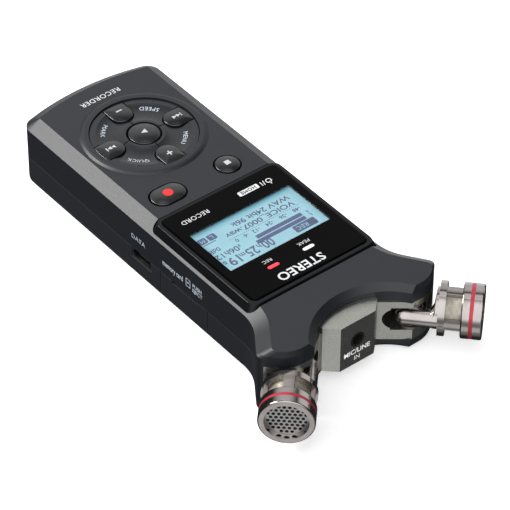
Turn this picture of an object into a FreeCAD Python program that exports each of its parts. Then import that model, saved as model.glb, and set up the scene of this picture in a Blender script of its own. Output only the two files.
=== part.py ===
import FreeCAD, Part
import math
import os
from types import SimpleNamespace

import Sketcher

# Handheld voice recorder lying on its back, in millimetres. +Z points out of the display, +Y towards the
# microphones and +X to the right side of the front face. The origin is under the middle of the recorder,
# on the surface it lies on. Every driving dimension is a cell of the sheet "dimensions".

os.makedirs("parts", exist_ok=True)
document = FreeCAD.newDocument("voice_recorder")
sheet = document.addObject("Spreadsheet::Sheet", "dimensions")

DIMENSIONS = {
    # case
    "case_length": 158.0,
    "case_half_width": 25.7,
    "case_split": 11.0,
    "case_top": 25.05,
    "case_wall": 1.8,
    "case_side_wall": 1.9,
    "case_floor": 1.8,
    "case_roof": 2.0,
    "case_bottom_round": 2.3,
    "parting_depth": 0.45,
    "parting_height": 0.45,
    "seam_near": -3.5,
    "seam_far": 19.9,
    "seam_low": 2.6,
    "seam_width": 0.4,
    "end_radius": 85.6,
    "corner_radius": 4.8,
    "chamfer_start": 22.15,
    "chamfer_knee": 23.0,
    "chamfer_width": 4.3,
    "cavity_half_width": 23.6,
    "cavity_step_half_width": 21.0,
    "cavity_step_height": 21.0,
    "cavity_near_end": -76.2,
    "cavity_far_end": 41.2,
    "cavity_corner": 3.0,
    "floor_corner": 1.0,
    # shoulders that carry the microphones
    "flare_start": 36.9,
    "flare_radius": 16.6,
    "flare_angle": 35.0,
    "shoulder_x": 22.6,
    "shoulder_y": 51.7,
    "shoulder_radius": 10.2,
    "tip_round": 2.2,
    "tip_wrap_length": 7.0,
    "shoulder_break": 0.5,
    "notch_centre": 74.4,
    "notch_radius": 22.5,
    "notch_chamfer": 1.8,
    "ear_height": 4.0,
    "lip_height": 19.0,
    # microphone bracket and the block between the microphones
    "bracket_split": 12.65,
    "bracket_back": 44.0,
    "bracket_back_half_width": 25.0,
    "bracket_flank_start": 47.5,
    "bracket_gap": 0.05,
    "bracket_corner_x": 19.6,
    "bracket_root_x": 11.0,
    "bracket_root_y": 55.0,
    "block_front": 59.4,
    "block_half_width": 6.6,
    "block_facet_x": 10.6,
    "block_facet_y": 55.7,
    "block_top": 21.2,
    "slot_low": 7.8,
    "slot_high": 16.6,
    "slot_end": 12.3,
    "slot_radius": 8.9,
    "slot_back": 49.0,
    # swinging microphones
    "mic_angle": 43.2,
    "mic_height": 12.5,
    "pivot_x": 23.2,
    "pivot_y": 57.05,
    "mic_reach": 21.75,
    "cap_radius": 8.56,
    "cap_length": 6.5,
    "cap_bore": 6.7,
    "cap_edge": 0.5,
    "band_centre": 3.4,
    "band_width": 1.2,
    "band_depth": 0.3,
    "cage_radius": 8.43,
    "cage_bore": 6.5,
    "cage_window": 4.8,
    "cage_ring": 2.1,
    "pillar_radius": 7.7,
    "pillar_width": 3.2,
    "mesh_radius": 6.35,
    "mesh_wall": 0.25,
    "capsule_radius": 5.0,
    "capsule_length": 8.0,
    "grille_radius": 6.65,
    "grille_recess": 2.1,
    "grille_thickness": 0.6,
    "grille_pitch": 1.58,
    "grille_hole": 0.56,
    "grille_rim": 0.1,
    "bell_radius": 6.5,
    "bell_length": 2.4,
    "bell_rim": 0.9,
    "bell_flare": 0.45,
    "bell_waist": 0.75,
    "bell_waist_radius": 3.9,
    "tube_radius": 2.9,
    "tube_offset": 5.0,
    "tube_tail": 4.6,
    "tube_tail_round": 2.7,
    "hub_radius": 4.6,
    "hub_low": 8.1,
    "hub_high": 16.3,
    "pin_radius": 1.5,
    "pin_clearance": 0.06,
    "pin_low": 5.0,
    "pin_high": 18.2,
    "cage_screw_radius": 1.0,
    "cage_screw_depth": 1.3,
    "cage_screw_cross": 0.35,
    # display
    "frame_half_width": 24.9,
    "frame_near": -9.8,
    "frame_far": 40.0,
    "frame_base": 22.7,
    "frame_rim": 25.5,
    "frame_slope": 1.2,
    "frame_corner": 3.0,
    "frame_edge_round": 0.25,
    "window_half_width": 22.2,
    "window_near": -8.0,
    "window_far": 37.8,
    "window_base": 24.7,
    "window_top": 26.0,
    "window_corner": 2.0,
    "window_bevel": 0.35,
    "lcd_half_width": 21.0,
    "lcd_near": -1.0,
    "lcd_far": 26.0,
    "lcd_base": 23.1,
    "lcd_top": 24.6,
    "backlight_base": 21.3,
    "led_length": 4.3,
    "led_width": 1.4,
    "led_base": 22.6,
    "peak_led_x": -5.7,
    "record_led_x": 7.8,
    "led_y": 29.2,
    # keys
    "dial_y": -45.2,
    "dial_opening": 17.5,
    "dial_lip_radius": 20.4,
    "dial_lip_height": 0.68,
    "dial_key_radius": 17.2,
    "play_radius": 5.1,
    "play_opening": 5.75,
    "play_top": 26.0,
    "finger_width": 7.6,
    "finger_inner": 8.4,
    "finger_top": 25.9,
    "finger_gap": 0.35,
    "finger_round": 0.9,
    "sector_top": 25.15,
    "sector_step": 15.3,
    "sector_dish_depth": 0.7,
    "sector_inner": 6.6,
    "key_base": 22.35,
    "key_round": 1.1,
    "stop_x": -11.2,
    "stop_radius": 4.0,
    "record_x": 12.0,
    "record_half_straight": 2.0,
    "side_key_y": -17.2,
    "side_key_top": 25.95,
    "side_key_opening": 0.6,
    # boards and what they carry
    "board_half_width": 22.0,
    "board_thickness": 1.6,
    "key_board_base": 18.4,
    "key_board_near": -69.0,
    "key_board_far": 35.0,
    "main_board_base": 5.6,
    "main_board_near": -19.0,
    "main_board_far": 34.5,
    "membrane_base": 21.1,
    "membrane_thickness": 0.8,
    "dome_radius": 2.2,
    "dome_thickness": 0.8,
    "port_y": -13.15,
    "port_z": 8.95,
    "port_width": 9.0,
    "port_height": 3.2,
    "port_depth": 7.4,
    "port_wall": 0.35,
    "port_panel_width": 10.4,
    "port_panel_depth": 0.3,
    "port_panel_edge": 0.5,
    "card_y": 8.65,
    "card_z": 10.6,
    "card_width": 12.5,
    "card_slit": 1.3,
    "card_body_width": 14.5,
    "card_body_depth": 15.0,
    "phones_y": 25.0,
    "phones_z": 8.2,
    "phones_body": 6.2,
    "phones_depth": 12.0,
    "jack_bore": 1.8,
    "jack_ring": 2.6,
    "mic_jack_z": 13.6,
    "mic_jack_body": 3.6,
    "mic_jack_length": 12.0,
    "hold_y": -2.0,
    "hold_z": 8.6,
    "hold_window_length": 11.0,
    "hold_window_height": 3.4,
    "hold_body_depth": 5.0,
    "hold_knob_length": 6.0,
    "hold_knob_height": 2.8,
    "hold_proud": 0.7,
    "hold_ridge_pitch": 1.0,
    "hold_ridge_width": 0.4,
    "hold_ridge": 0.3,
    "speaker_y": 6.0,
    "speaker_radius": 9.0,
    "speaker_height": 3.2,
    "speaker_hole": 0.8,
    "speaker_hole_pitch": 2.4,
    "speaker_magnet_radius": 5.4,
    "tripod_y": 31.0,
    "tripod_radius": 4.5,
    "tripod_height": 4.6,
    "tripod_bore": 2.6,
    # batteries
    "cell_radius": 7.1,
    "cell_length": 49.2,
    "cell_spacing": 15.4,
    "cell_z": 10.2,
    "cell_near": -71.2,
    "cell_nub_radius": 2.7,
    "cell_nub_length": 1.3,
    "contact_thickness": 0.4,
    "contact_width": 12.0,
    "door_far": -20.0,
    "door_height": 2.5,
    "door_gap": 0.1,
    "door_tab_width": 12.0,
    "door_tab_length": 3.0,
    "door_tab_thickness": 1.0,
    "door_rib_length": 16.0,
    "door_rib_pitch": 2.4,
    "door_rib_depth": 0.4,
    # fasteners
    "boss_x": 21.6,
    "boss_near": -72.2,
    "boss_far": 38.2,
    "boss_radius": 2.3,
    "screw_radius": 1.0,
    "screw_head_radius": 1.9,
    "screw_head_height": 1.3,
    "screw_cross_reach": 0.65,
    "screw_cross_width": 0.16,
    "screw_recess": 0.6,
    "bracket_screw_x": 9.0,
    "bracket_screw_y": 48.0,
    "bracket_screw_length": 9.0,
    "screw_length": 6.0,
}


def fill_sheet():
    """Writes one driving dimension in each row, with its name as the cell's alias."""
    for row, (name, value) in enumerate(DIMENSIONS.items(), start=1):
        sheet.set(f"A{row}", name)
        sheet.set(f"B{row}", str(value))
        sheet.setAlias(f"B{row}", name)
    document.recompute()


class Size:
    """A number that also carries the sheet expression it comes from."""

    def __init__(self, value, text):
        self.value = value
        self.text = text

    def __add__(self, other):
        return joined(self, "+", other, self.value + float(other))

    def __radd__(self, other):
        return joined(other, "+", self, float(other) + self.value)

    def __sub__(self, other):
        return joined(self, "-", other, self.value - float(other))

    def __rsub__(self, other):
        return joined(other, "-", self, float(other) - self.value)

    def __mul__(self, other):
        return joined(self, "*", other, self.value * float(other))

    def __rmul__(self, other):
        return joined(other, "*", self, float(other) * self.value)

    def __truediv__(self, other):
        return joined(self, "/", other, self.value / float(other))

    def __neg__(self):
        return Size(-self.value, f"(0 - {self.text})")

    def __float__(self):
        return self.value


def joined(left, sign, right, value):
    """The size that two sizes or numbers make with a sign between them."""
    return Size(value, f"({expression(left)} {sign} {expression(right)})")


def expression(size):
    """The text of a size or plain number, as the sheet's expressions write it."""
    if isinstance(size, Size):
        return size.text
    return f"{float(size):.6g}" if size >= 0 else f"(0 - {-float(size):.6g})"


def sine(degrees):
    return Size(math.sin(math.radians(float(degrees))), f"sin({expression(degrees)})")


def cosine(degrees):
    return Size(math.cos(math.radians(float(degrees))), f"cos({expression(degrees)})")


def root(size):
    return Size(math.sqrt(float(size)), f"sqrt({expression(size)})")


fill_sheet()
d = SimpleNamespace(**{name: Size(value, f"dimensions.{name}") for name, value in DIMENSIONS.items()})
DIAGONAL = root(2)
QUARTER_TURN = 90


# ---- outlines: lists of corners (x, y) or (x, y, bend), where bend is the radius of the arc to the next
# ---- corner, positive where the outline turns left


def mirrored(half):
    """A closed outline from its right half, which starts on the middle line and runs anticlockwise."""
    bends = [corner[2] if len(corner) > 2 else 0 for corner in half]
    whole = [(corner[0], corner[1], bend) for corner, bend in zip(half, bends)]
    for index in range(len(half) - 1, -1, -1):
        on_middle_line = float(half[index][0]) == 0
        if not on_middle_line:
            whole.append((-half[index][0], half[index][1], bends[index - 1] if index else 0))
    return whole


def rectangle(left, near, right, far, corner=0):
    """A rectangle, with round corners when a corner radius is given."""
    if not float(corner):
        return [(left, near), (right, near), (right, far), (left, far)]
    return [
        (left + corner, near),
        (right - corner, near, corner),
        (right, near + corner),
        (right, far - corner, corner),
        (right - corner, far),
        (left + corner, far, corner),
        (left, far - corner),
        (left, near + corner, corner),
    ]


class Circle:
    """A round outline."""

    def __init__(self, x, y, radius):
        self.x = x
        self.y = y
        self.radius = radius


def stadium(x, y, half_straight, radius):
    """A bar along X with round ends."""
    right = x + half_straight
    left = x - half_straight
    return [
        (left, y - radius),
        (right, y - radius, radius),
        (right + radius, y, radius),
        (right, y + radius),
        (left, y + radius, radius),
        (left - radius, y, radius),
    ]


def shoulder_tip(side, front):
    """The sharp corner of the right shoulder, moved in from its flank and its front face."""
    reach = d.flare_radius + side
    flank_x = d.case_half_width + d.flare_radius - reach * cosine(d.flare_angle)
    flank_y = d.flare_start + reach * sine(d.flare_angle)
    front_sum = d.shoulder_x + d.shoulder_y + (d.shoulder_radius - front) * DIAGONAL
    heading_x = sine(d.flare_angle)
    heading_y = cosine(d.flare_angle)
    length = (front_sum - flank_x - flank_y) / (heading_x + heading_y)
    return flank_x + length * heading_x, flank_y + length * heading_y


def shoulder_tip_round(side, front, radius):
    """The two ends of the small arc that rounds the tip of the right shoulder."""
    tip_x, tip_y = shoulder_tip(side, front)
    half_turn = (d.flare_angle + QUARTER_TURN / 2) / 2
    tangent = radius * sine(half_turn) / cosine(half_turn)
    start = (tip_x - tangent * sine(d.flare_angle), tip_y - tangent * cosine(d.flare_angle), radius)
    end = (tip_x - tangent / DIAGONAL, tip_y + tangent / DIAGONAL)
    return start, end


def case_outline(side=0, front=0, notch=0):
    """The case in plan, moved in by its own distance at the sides, the shoulder fronts and the notch."""
    end_centre = d.end_radius - d.case_length / 2
    reach = d.end_radius - d.corner_radius
    corner_x = d.case_half_width - d.corner_radius
    drop = root(reach * reach - corner_x * corner_x)
    scale = (d.end_radius - side) / reach
    flare = d.flare_radius + side
    tip_start, tip_end = shoulder_tip_round(side, front, d.tip_round)
    shoulder = d.shoulder_radius - front
    front_y = d.shoulder_y + shoulder
    notch_radius = d.notch_radius + notch
    notch_drop = d.notch_centre - front_y
    notch_x = root(notch_radius * notch_radius - notch_drop * notch_drop)
    return mirrored([
        (0, side - d.case_length / 2, d.end_radius - side),
        (corner_x * scale, end_centre - drop * scale, d.corner_radius - side),
        (d.case_half_width - side, end_centre - drop),
        (d.case_half_width - side, d.flare_start, -flare),
        (
            d.case_half_width + d.flare_radius - flare * cosine(d.flare_angle),
            d.flare_start + flare * sine(d.flare_angle),
        ),
        tip_start,
        tip_end,
        (d.shoulder_x + shoulder / DIAGONAL, d.shoulder_y + shoulder / DIAGONAL, shoulder),
        (d.shoulder_x, front_y),
        (notch_x, front_y, -notch_radius),
    ])


def flank_inside_end(extra=0):
    """Where the inner face of the shoulder's side wall meets the shoulder front."""
    tip_x, tip_y = shoulder_tip(0, d.bracket_gap)
    thickness = d.case_side_wall + extra
    along = thickness / cosine(QUARTER_TURN / 2 - d.flare_angle) / DIAGONAL
    return tip_x - along, tip_y + along


def flank_inside_start(extra=0):
    """Where the inner face of the shoulder's side wall leaves the flare."""
    end_x, end_y = flank_inside_end(extra)
    length = (end_y - d.bracket_flank_start) / cosine(d.flare_angle)
    return end_x - length * sine(d.flare_angle), d.bracket_flank_start


def bracket_outline():
    """The microphone bracket in plan, with the facets of the block in its middle."""
    start_x, start_y = flank_inside_start(d.bracket_gap)
    end_x, end_y = flank_inside_end(d.bracket_gap)
    shoulder = d.shoulder_radius - d.bracket_gap
    return mirrored([
        (0, d.bracket_back),
        (d.bracket_back_half_width, d.bracket_back),
        (start_x, start_y),
        (end_x, end_y),
        (d.shoulder_x + shoulder / DIAGONAL, d.shoulder_y + shoulder / DIAGONAL, shoulder),
        (d.shoulder_x, d.shoulder_y + shoulder),
        (d.bracket_corner_x, d.shoulder_y + shoulder),
        (d.bracket_root_x, d.bracket_root_y),
        (d.block_facet_x, d.block_facet_y),
        (d.block_half_width, d.block_front),
    ])


def bracket_space():
    """The room that the case leaves for the bracket, open to the front."""
    start_x, start_y = flank_inside_start()
    end_x, end_y = flank_inside_end()
    outside = d.case_length / 2
    return mirrored([
        (0, d.bracket_back - d.bracket_gap),
        (d.bracket_back_half_width + d.bracket_gap, d.bracket_back - d.bracket_gap),
        (start_x, start_y),
        (end_x, end_y),
        (end_x, outside),
        (0, outside),
    ])


def tip_wrap_outline(side):
    """The end of the shoulder's side wall, which reaches down over the bracket's outer corner."""
    tip_x, tip_y = shoulder_tip(0, 0)
    start, end = shoulder_tip_round(0, 0, d.tip_round)
    inner_x, inner_y = flank_inside_end()
    back_x = d.tip_wrap_length * sine(d.flare_angle)
    back_y = d.tip_wrap_length * cosine(d.flare_angle)
    right = [
        (tip_x - back_x, tip_y - back_y),
        start,
        end,
        (inner_x, inner_y),
        (inner_x - back_x, inner_y - back_y),
    ]
    if side > 0:
        return right
    return [(-corner[0], corner[1], *(-bend for bend in corner[2:])) for corner in right]


# ---- features


def bind(thing, name, size):
    """Ties a property to the sheet, or sets it where the size is a plain number."""
    if isinstance(size, Size):
        thing.setExpression(name, size.text)
    elif name.startswith("Placement.Base."):
        setattr(thing.Placement.Base, name[-1], float(size))
    else:
        setattr(thing, name, float(size))


def bend_point(start, end, bend):
    """The middle point of the arc between two corners."""
    chord = end - start
    left = FreeCAD.Vector(-chord.y, chord.x, 0).normalize()
    radius = abs(bend)
    rise = radius - math.sqrt(max(radius * radius - chord.Length**2 / 4, 0))
    return (start + end) / 2 - left * math.copysign(rise, bend)


def draw_circle(sketch, outline):
    """Draws a circle and ties its centre and radius to the sheet."""
    centre = FreeCAD.Vector(float(outline.x), float(outline.y), 0)
    radius = float(outline.radius)
    edge = sketch.addGeometry(Part.Circle(centre, FreeCAD.Vector(0, 0, 1), radius), False)
    tie(sketch, Sketcher.Constraint("DistanceX", -1, 1, edge, 3, centre.x), outline.x)
    tie(sketch, Sketcher.Constraint("DistanceY", -1, 1, edge, 3, centre.y), outline.y)
    tie(sketch, Sketcher.Constraint("Radius", edge, radius), outline.radius)


def draw_outline(sketch, outline):
    """Draws one closed outline and ties each corner and bend to the sheet."""
    points = [FreeCAD.Vector(float(corner[0]), float(corner[1]), 0) for corner in outline]
    edges = []
    for index, corner in enumerate(outline):
        start = points[index]
        end = points[(index + 1) % len(points)]
        bend = float(corner[2]) if len(corner) > 2 else 0
        if bend:
            edge = Part.Arc(start, bend_point(start, end, bend), end)
        else:
            edge = Part.LineSegment(start, end)
        edges.append((sketch.addGeometry(edge, False), start, end, bend))
    for index, (edge, start, end, bend) in enumerate(edges):
        following = edges[(index + 1) % len(edges)][0]
        begins = 2 if bend < 0 else 1
        ends = 1 if bend < 0 else 2
        next_begins = 2 if edges[(index + 1) % len(edges)][3] < 0 else 1
        sketch.addConstraint(Sketcher.Constraint("Coincident", edge, ends, following, next_begins))
        tie(sketch, Sketcher.Constraint("DistanceX", -1, 1, edge, begins, start.x), outline[index][0])
        tie(sketch, Sketcher.Constraint("DistanceY", -1, 1, edge, begins, start.y), outline[index][1])
        if bend:
            radius = outline[index][2] if bend > 0 else -outline[index][2]
            tie(sketch, Sketcher.Constraint("Radius", edge, abs(bend)), radius)


def tie(sketch, constraint, size):
    """Adds a constraint to a sketch and binds its value to the sheet."""
    index = sketch.addConstraint(constraint)
    if isinstance(size, Size):
        sketch.setExpression(f"Constraints[{index}]", size.text)


PIECES = []


class Piece:
    """One physical piece of the recorder: a body whose features take their sizes from the sheet."""

    def __init__(self, name):
        self.body = document.addObject("PartDesign::Body", name)
        self.body.Label = name
        self.body.AllowCompound = True
        PIECES.append(self.body)

    def sketch(self, outlines, plane, offset):
        """A sketch on one of the body's origin planes, moved along that plane's normal."""
        sketch = self.body.newObject("Sketcher::SketchObject", self.body.Name + "_sketch")
        origin = [item for item in self.body.Origin.OriginFeatures if item.Role == plane + "_Plane"]
        sketch.AttachmentSupport = [(origin[0], "")]
        sketch.MapMode = "FlatFace"
        if isinstance(offset, Size):
            sketch.setExpression("AttachmentOffset.Base.z", offset.text)
        else:
            sketch.AttachmentOffset = FreeCAD.Placement(FreeCAD.Vector(0, 0, offset), FreeCAD.Rotation())
        for outline in outlines:
            draw = draw_circle if isinstance(outline, Circle) else draw_outline
            draw(sketch, outline)
        return sketch

    def pad(self, outlines, low, high, plane="XY"):
        """Adds material between two levels. The normal of the XZ plane points to -Y."""
        offset = -high if plane == "XZ" else low
        feature = self.body.newObject("PartDesign::Pad", self.body.Name + "_pad")
        feature.Profile = self.sketch(outlines, plane, offset)
        bind(feature, "Length", high - low)
        self.body.Tip = feature
        return feature

    def pocket(self, outlines, low, high, plane="XY"):
        """Cuts between two levels, and makes sure that something was cut."""
        offset = -low if plane == "XZ" else high
        document.recompute()
        before = self.body.Shape.Volume
        feature = self.body.newObject("PartDesign::Pocket", self.body.Name + "_pocket")
        feature.Profile = self.sketch(outlines, plane, offset)
        bind(feature, "Length", high - low)
        self.body.Tip = feature
        document.recompute()
        if self.body.Shape.Volume >= before:
            raise RuntimeError(f"a pocket of {self.body.Name} cuts nothing")
        return feature

    def loft(self, levels, plane="XY"):
        """Adds a ruled solid through outlines at rising levels. The normal of the XZ plane points to -Y."""
        sign = -1 if plane == "XZ" else 1
        sketches = [self.sketch([outline], plane, level * sign) for outline, level in levels]
        feature = self.body.newObject("PartDesign::AdditiveLoft", self.body.Name + "_loft")
        feature.Profile = sketches[0]
        feature.Sections = sketches[1:]
        feature.Ruled = True
        self.body.Tip = feature
        return feature

    def revolve(self, outline, plane="XZ"):
        """Turns a profile of (radius, level) corners round the sketch's upright axis."""
        sketch = self.sketch([outline], plane, 0)
        feature = self.body.newObject("PartDesign::Revolution", self.body.Name + "_turned")
        feature.Profile = sketch
        feature.ReferenceAxis = (sketch, ["V_Axis"])
        self.body.Tip = feature
        return feature

    def groove(self, outline, plane="XZ"):
        """Cuts a turned profile round the sketch's upright axis, and makes sure that it cut."""
        document.recompute()
        before = self.body.Shape.Volume
        sketch = self.sketch([outline], plane, 0)
        feature = self.body.newObject("PartDesign::Groove", self.body.Name + "_groove")
        feature.Profile = sketch
        feature.ReferenceAxis = (sketch, ["V_Axis"])
        self.body.Tip = feature
        document.recompute()
        if self.body.Shape.Volume >= before:
            raise RuntimeError(f"a groove of {self.body.Name} cuts nothing")
        return feature

    def round_edges(self, radius, chosen):
        """Rounds the edges that a test picks out."""
        document.recompute()
        tip = self.body.Tip
        names = [f"Edge{index}" for index, edge in enumerate(tip.Shape.Edges, start=1) if chosen(edge)]
        feature = self.body.newObject("PartDesign::Fillet", self.body.Name + "_fillet")
        feature.Base = (tip, names)
        bind(feature, "Radius", radius)
        self.body.Tip = feature
        return feature

    def place(self, x, y, z, turn=0):
        """Moves the piece, and turns it about the upright axis."""
        rotation = FreeCAD.Rotation(FreeCAD.Vector(0, 0, 1), float(turn))
        self.body.Placement = FreeCAD.Placement(FreeCAD.Vector(float(x), float(y), float(z)), rotation)
        for axis, size in zip("xyz", (x, y, z)):
            if isinstance(size, Size):
                self.body.setExpression(f"Placement.Base.{axis}", size.text)
        return self


TINY = 0.001


def flat_at(level, axis="Z"):
    """Tests whether an edge lies wholly at one level."""
    def chosen(edge):
        ends = (getattr(edge.BoundBox, axis + "Min"), getattr(edge.BoundBox, axis + "Max"))
        return all(abs(end - float(level)) < TINY for end in ends)
    return chosen


def cylinder(name, radius, length, x, y, z, axis="Z"):
    """A cylinder that starts at a place and runs along an axis."""
    turns = {
        "Z": FreeCAD.Rotation(),
        "X": FreeCAD.Rotation(FreeCAD.Vector(0, 1, 0), QUARTER_TURN),
        "Y": FreeCAD.Rotation(FreeCAD.Vector(1, 0, 0), -QUARTER_TURN),
    }
    shape = document.addObject("Part::Cylinder", name)
    bind(shape, "Radius", radius)
    bind(shape, "Height", length)
    return primitive_place(shape, x, y, z, turns[axis])


def block(name, left, near, low, right, far, high):
    """A box between two opposite corners."""
    shape = document.addObject("Part::Box", name)
    bind(shape, "Length", right - left)
    bind(shape, "Width", far - near)
    bind(shape, "Height", high - low)
    return primitive_place(shape, left, near, low, FreeCAD.Rotation())


def primitive_place(shape, x, y, z, rotation):
    shape.Placement = FreeCAD.Placement(FreeCAD.Vector(float(x), float(y), float(z)), rotation)
    for axis, size in zip("xyz", (x, y, z)):
        if isinstance(size, Size):
            shape.setExpression(f"Placement.Base.{axis}", size.text)
    return shape


def cut(name, base, tools):
    """A shape with one or more others taken out of it."""
    for index, tool in enumerate(tools):
        result = document.addObject("Part::Cut", f"{name}_cut{index}")
        result.Base = base
        result.Tool = tool
        base = result
    return base


def fused(name, shapes):
    result = document.addObject("Part::MultiFuse", name)
    result.Shapes = shapes
    return result


def group(name, shapes):
    """Separate solids that share one node."""
    result = document.addObject("Part::Compound", name)
    result.Links = shapes
    return keep(result, name)


def keep(result, name):
    result.Label = name
    PIECES.append(result)
    return result


# ---- places that several pieces share

SLACK = 0.1
FIT = 0.05
# how far a feature runs past a face, or on into its neighbour, so that it cuts or joins cleanly
OVERLAP = 1
BOSSES = [(side * d.boss_x, y) for side in (1, -1) for y in (d.boss_near, d.boss_far)]
BRACKET_SCREWS = [(side * d.bracket_screw_x, d.bracket_screw_y) for side in (1, -1)]
PORT_LOW = d.port_z - d.port_height / 2
PORT_HIGH = d.port_z + d.port_height / 2
ROOF = d.case_top - d.case_roof
SIDE_OUTSIDE = d.case_half_width + OVERLAP
MAIN_BOARD_TOP = d.main_board_base + d.board_thickness
KEY_BOARD_TOP = d.key_board_base + d.board_thickness
MEMBRANE_TOP = d.membrane_base + d.membrane_thickness
DOOR_TOP = d.door_height - SLACK


def frame_outline(out=0):
    half = d.frame_half_width + out
    return rectangle(-half, d.frame_near - out, half, d.frame_far + out, d.frame_corner)


def window_outline(out=0, corner=d.window_corner):
    half = d.window_half_width + out
    return rectangle(-half, d.window_near - out, half, d.window_far + out, corner)


def port_outline(gap=0):
    """The data port's mouth in the right side, as (Y, Z) corners."""
    half = d.port_width / 2 + gap
    round_end = d.port_height / 2 - SLACK + gap
    return rectangle(d.port_y - half, PORT_LOW - gap, d.port_y + half, PORT_HIGH + gap, round_end)


def card_outline(gap=0):
    half = d.card_width / 2 + gap
    rise = d.card_slit / 2 + gap
    return rectangle(d.card_y - half, d.card_z - rise, d.card_y + half, d.card_z + rise)


def hold_outline():
    half = d.hold_window_length / 2
    rise = d.hold_window_height / 2
    return rectangle(d.hold_y - half, d.hold_z - rise, d.hold_y + half, d.hold_z + rise, rise - SLACK)


def screw_seat(y):
    """The level of a case screw's outer face: under the battery door, or just inside the rear face."""
    return d.door_height + SLACK if float(y) < float(d.door_far) else d.screw_recess


# ---- case


def front_case():
    piece = Piece("front_case")
    piece.pad([case_outline()], d.case_split, d.chamfer_start)
    knee = d.chamfer_width * (d.chamfer_knee - d.chamfer_start) / (d.case_top - d.chamfer_start)
    piece.loft([
        (case_outline(), d.chamfer_start),
        (case_outline(side=knee), d.chamfer_knee),
        (case_outline(d.chamfer_width, d.shoulder_break, d.notch_chamfer), d.case_top),
    ])
    dial_lip(piece)
    hollow_front(piece)
    for side in (1, -1):
        piece.pad([tip_wrap_outline(side)], d.ear_height + FIT, d.case_split)
    open_front(piece)
    cut_card_notch(piece)
    piece.pad([Circle(x, y, d.boss_radius) for x, y in BOSSES], d.case_split, d.cavity_step_height + OVERLAP)
    pilot_holes = [Circle(x, y, d.screw_radius) for x, y in BOSSES]
    piece.pocket(pilot_holes, d.case_split, d.case_split + d.screw_length)


def hollow_front(piece):
    """The room inside the front case, in two steps that follow its chamfer, and the bracket's space."""
    wide = d.cavity_half_width
    narrow = d.cavity_step_half_width
    inset = d.cavity_half_width - d.cavity_step_half_width
    lower = rectangle(-wide, d.cavity_near_end, wide, d.cavity_far_end, d.cavity_corner)
    upper = rectangle(-narrow, d.cavity_near_end + inset, narrow, d.cavity_far_end, d.cavity_corner)
    piece.pocket([lower], d.case_split, d.cavity_step_height)
    piece.pocket([upper], d.cavity_step_height, ROOF)
    piece.pocket([bracket_space()], d.case_split, d.lip_height)


def open_front(piece):
    """The openings for the display and the keys."""
    piece.pocket([frame_outline(FIT)], d.frame_base, d.window_top)
    piece.pocket([window_outline(-OVERLAP)], d.cavity_step_height, d.frame_base)
    piece.pocket([Circle(0, d.dial_y, d.dial_opening)], ROOF, d.window_top)
    opening = d.stop_radius + d.side_key_opening
    piece.pocket([Circle(d.stop_x, d.side_key_y, opening)], ROOF, d.window_top)
    piece.pocket([stadium(d.record_x, d.side_key_y, d.record_half_straight, opening)], ROOF, d.window_top)


def dial_lip(piece):
    """The low soft ridge round the dial."""
    crest = d.case_top + d.dial_lip_height
    middle = (d.dial_opening + d.dial_lip_radius) / 2
    piece.loft([
        (Circle(0, d.dial_y, d.dial_lip_radius), d.case_top),
        (Circle(0, d.dial_y, middle + d.dial_lip_height), crest - d.dial_lip_height / 4),
        (Circle(0, d.dial_y, middle), crest),
    ])


def cut_card_notch(piece):
    """The card slit lies on the split line, so each half of the case has a part of it."""
    piece.pocket([card_outline(FIT)], d.cavity_half_width - SLACK, SIDE_OUTSIDE, "YZ")


def cut_side_openings(piece):
    """The data port in its panel, two fine seams, the phones jack's hole and the hold slider's window."""
    inside = d.cavity_half_width - SLACK
    half = d.port_panel_width / 2
    edge = d.port_panel_edge
    panel = rectangle(d.port_y - half, PORT_LOW - edge, d.port_y + half, PORT_HIGH + FIT, edge / 2)
    piece.pocket([panel], d.case_half_width - d.port_panel_depth, SIDE_OUTSIDE, "YZ")
    half = d.seam_width / 2
    for seam in (d.seam_near, d.seam_far):
        line = rectangle(seam - half, d.seam_low, seam + half, d.case_split)
        piece.pocket([line], d.case_half_width - d.parting_depth, SIDE_OUTSIDE, "YZ")
    piece.pocket([port_outline(FIT)], inside, SIDE_OUTSIDE, "YZ")
    piece.pocket([hold_outline()], -SIDE_OUTSIDE, -inside, "YZ")
    piece.pocket([Circle(d.phones_y, d.phones_z, d.jack_ring + FIT)], -SIDE_OUTSIDE, -inside, "YZ")


def rear_outer(piece):
    """The outside of the rear half: round along its bottom edge, with a fine step at the parting line."""
    step = d.case_split - d.parting_height
    piece.pad([case_outline()], 0, step)
    piece.round_edges(d.case_bottom_round, flat_at(0))
    piece.pad([case_outline(d.parting_depth, d.parting_depth)], step, d.case_split)


def rear_case():
    piece = Piece("rear_case")
    rear_outer(piece)
    wide = d.cavity_half_width
    floor = rectangle(-wide, d.door_far + d.case_wall, wide, d.cavity_far_end, d.floor_corner)
    bay = rectangle(-wide, d.cavity_near_end, wide, d.door_far + d.cavity_corner * 2, d.cavity_corner)
    piece.pocket([floor], d.case_floor, d.case_split)
    piece.pocket([bay], d.door_height, d.case_split)
    tab = d.door_tab_width / 2 + SLACK
    tab_room = rectangle(-tab, d.door_far, tab, d.door_far + d.door_tab_length)
    piece.pocket([tab_room], d.case_floor, d.case_floor + d.door_tab_thickness)
    beyond = d.case_length / 2 + OVERLAP
    piece.pocket([rectangle(-SIDE_OUTSIDE, -beyond, SIDE_OUTSIDE, d.door_far)], 0, d.door_height)
    piece.pocket([bracket_space()], d.ear_height, d.case_split)
    for side in (1, -1):
        piece.pocket([tip_wrap_outline(side)], d.ear_height, d.case_split)
    cut_card_notch(piece)
    cut_side_openings(piece)
    speaker_holes(piece)
    piece.pocket([Circle(0, d.tripod_y, d.tripod_radius)], 0, d.case_floor)
    rear_bosses(piece)


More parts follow.
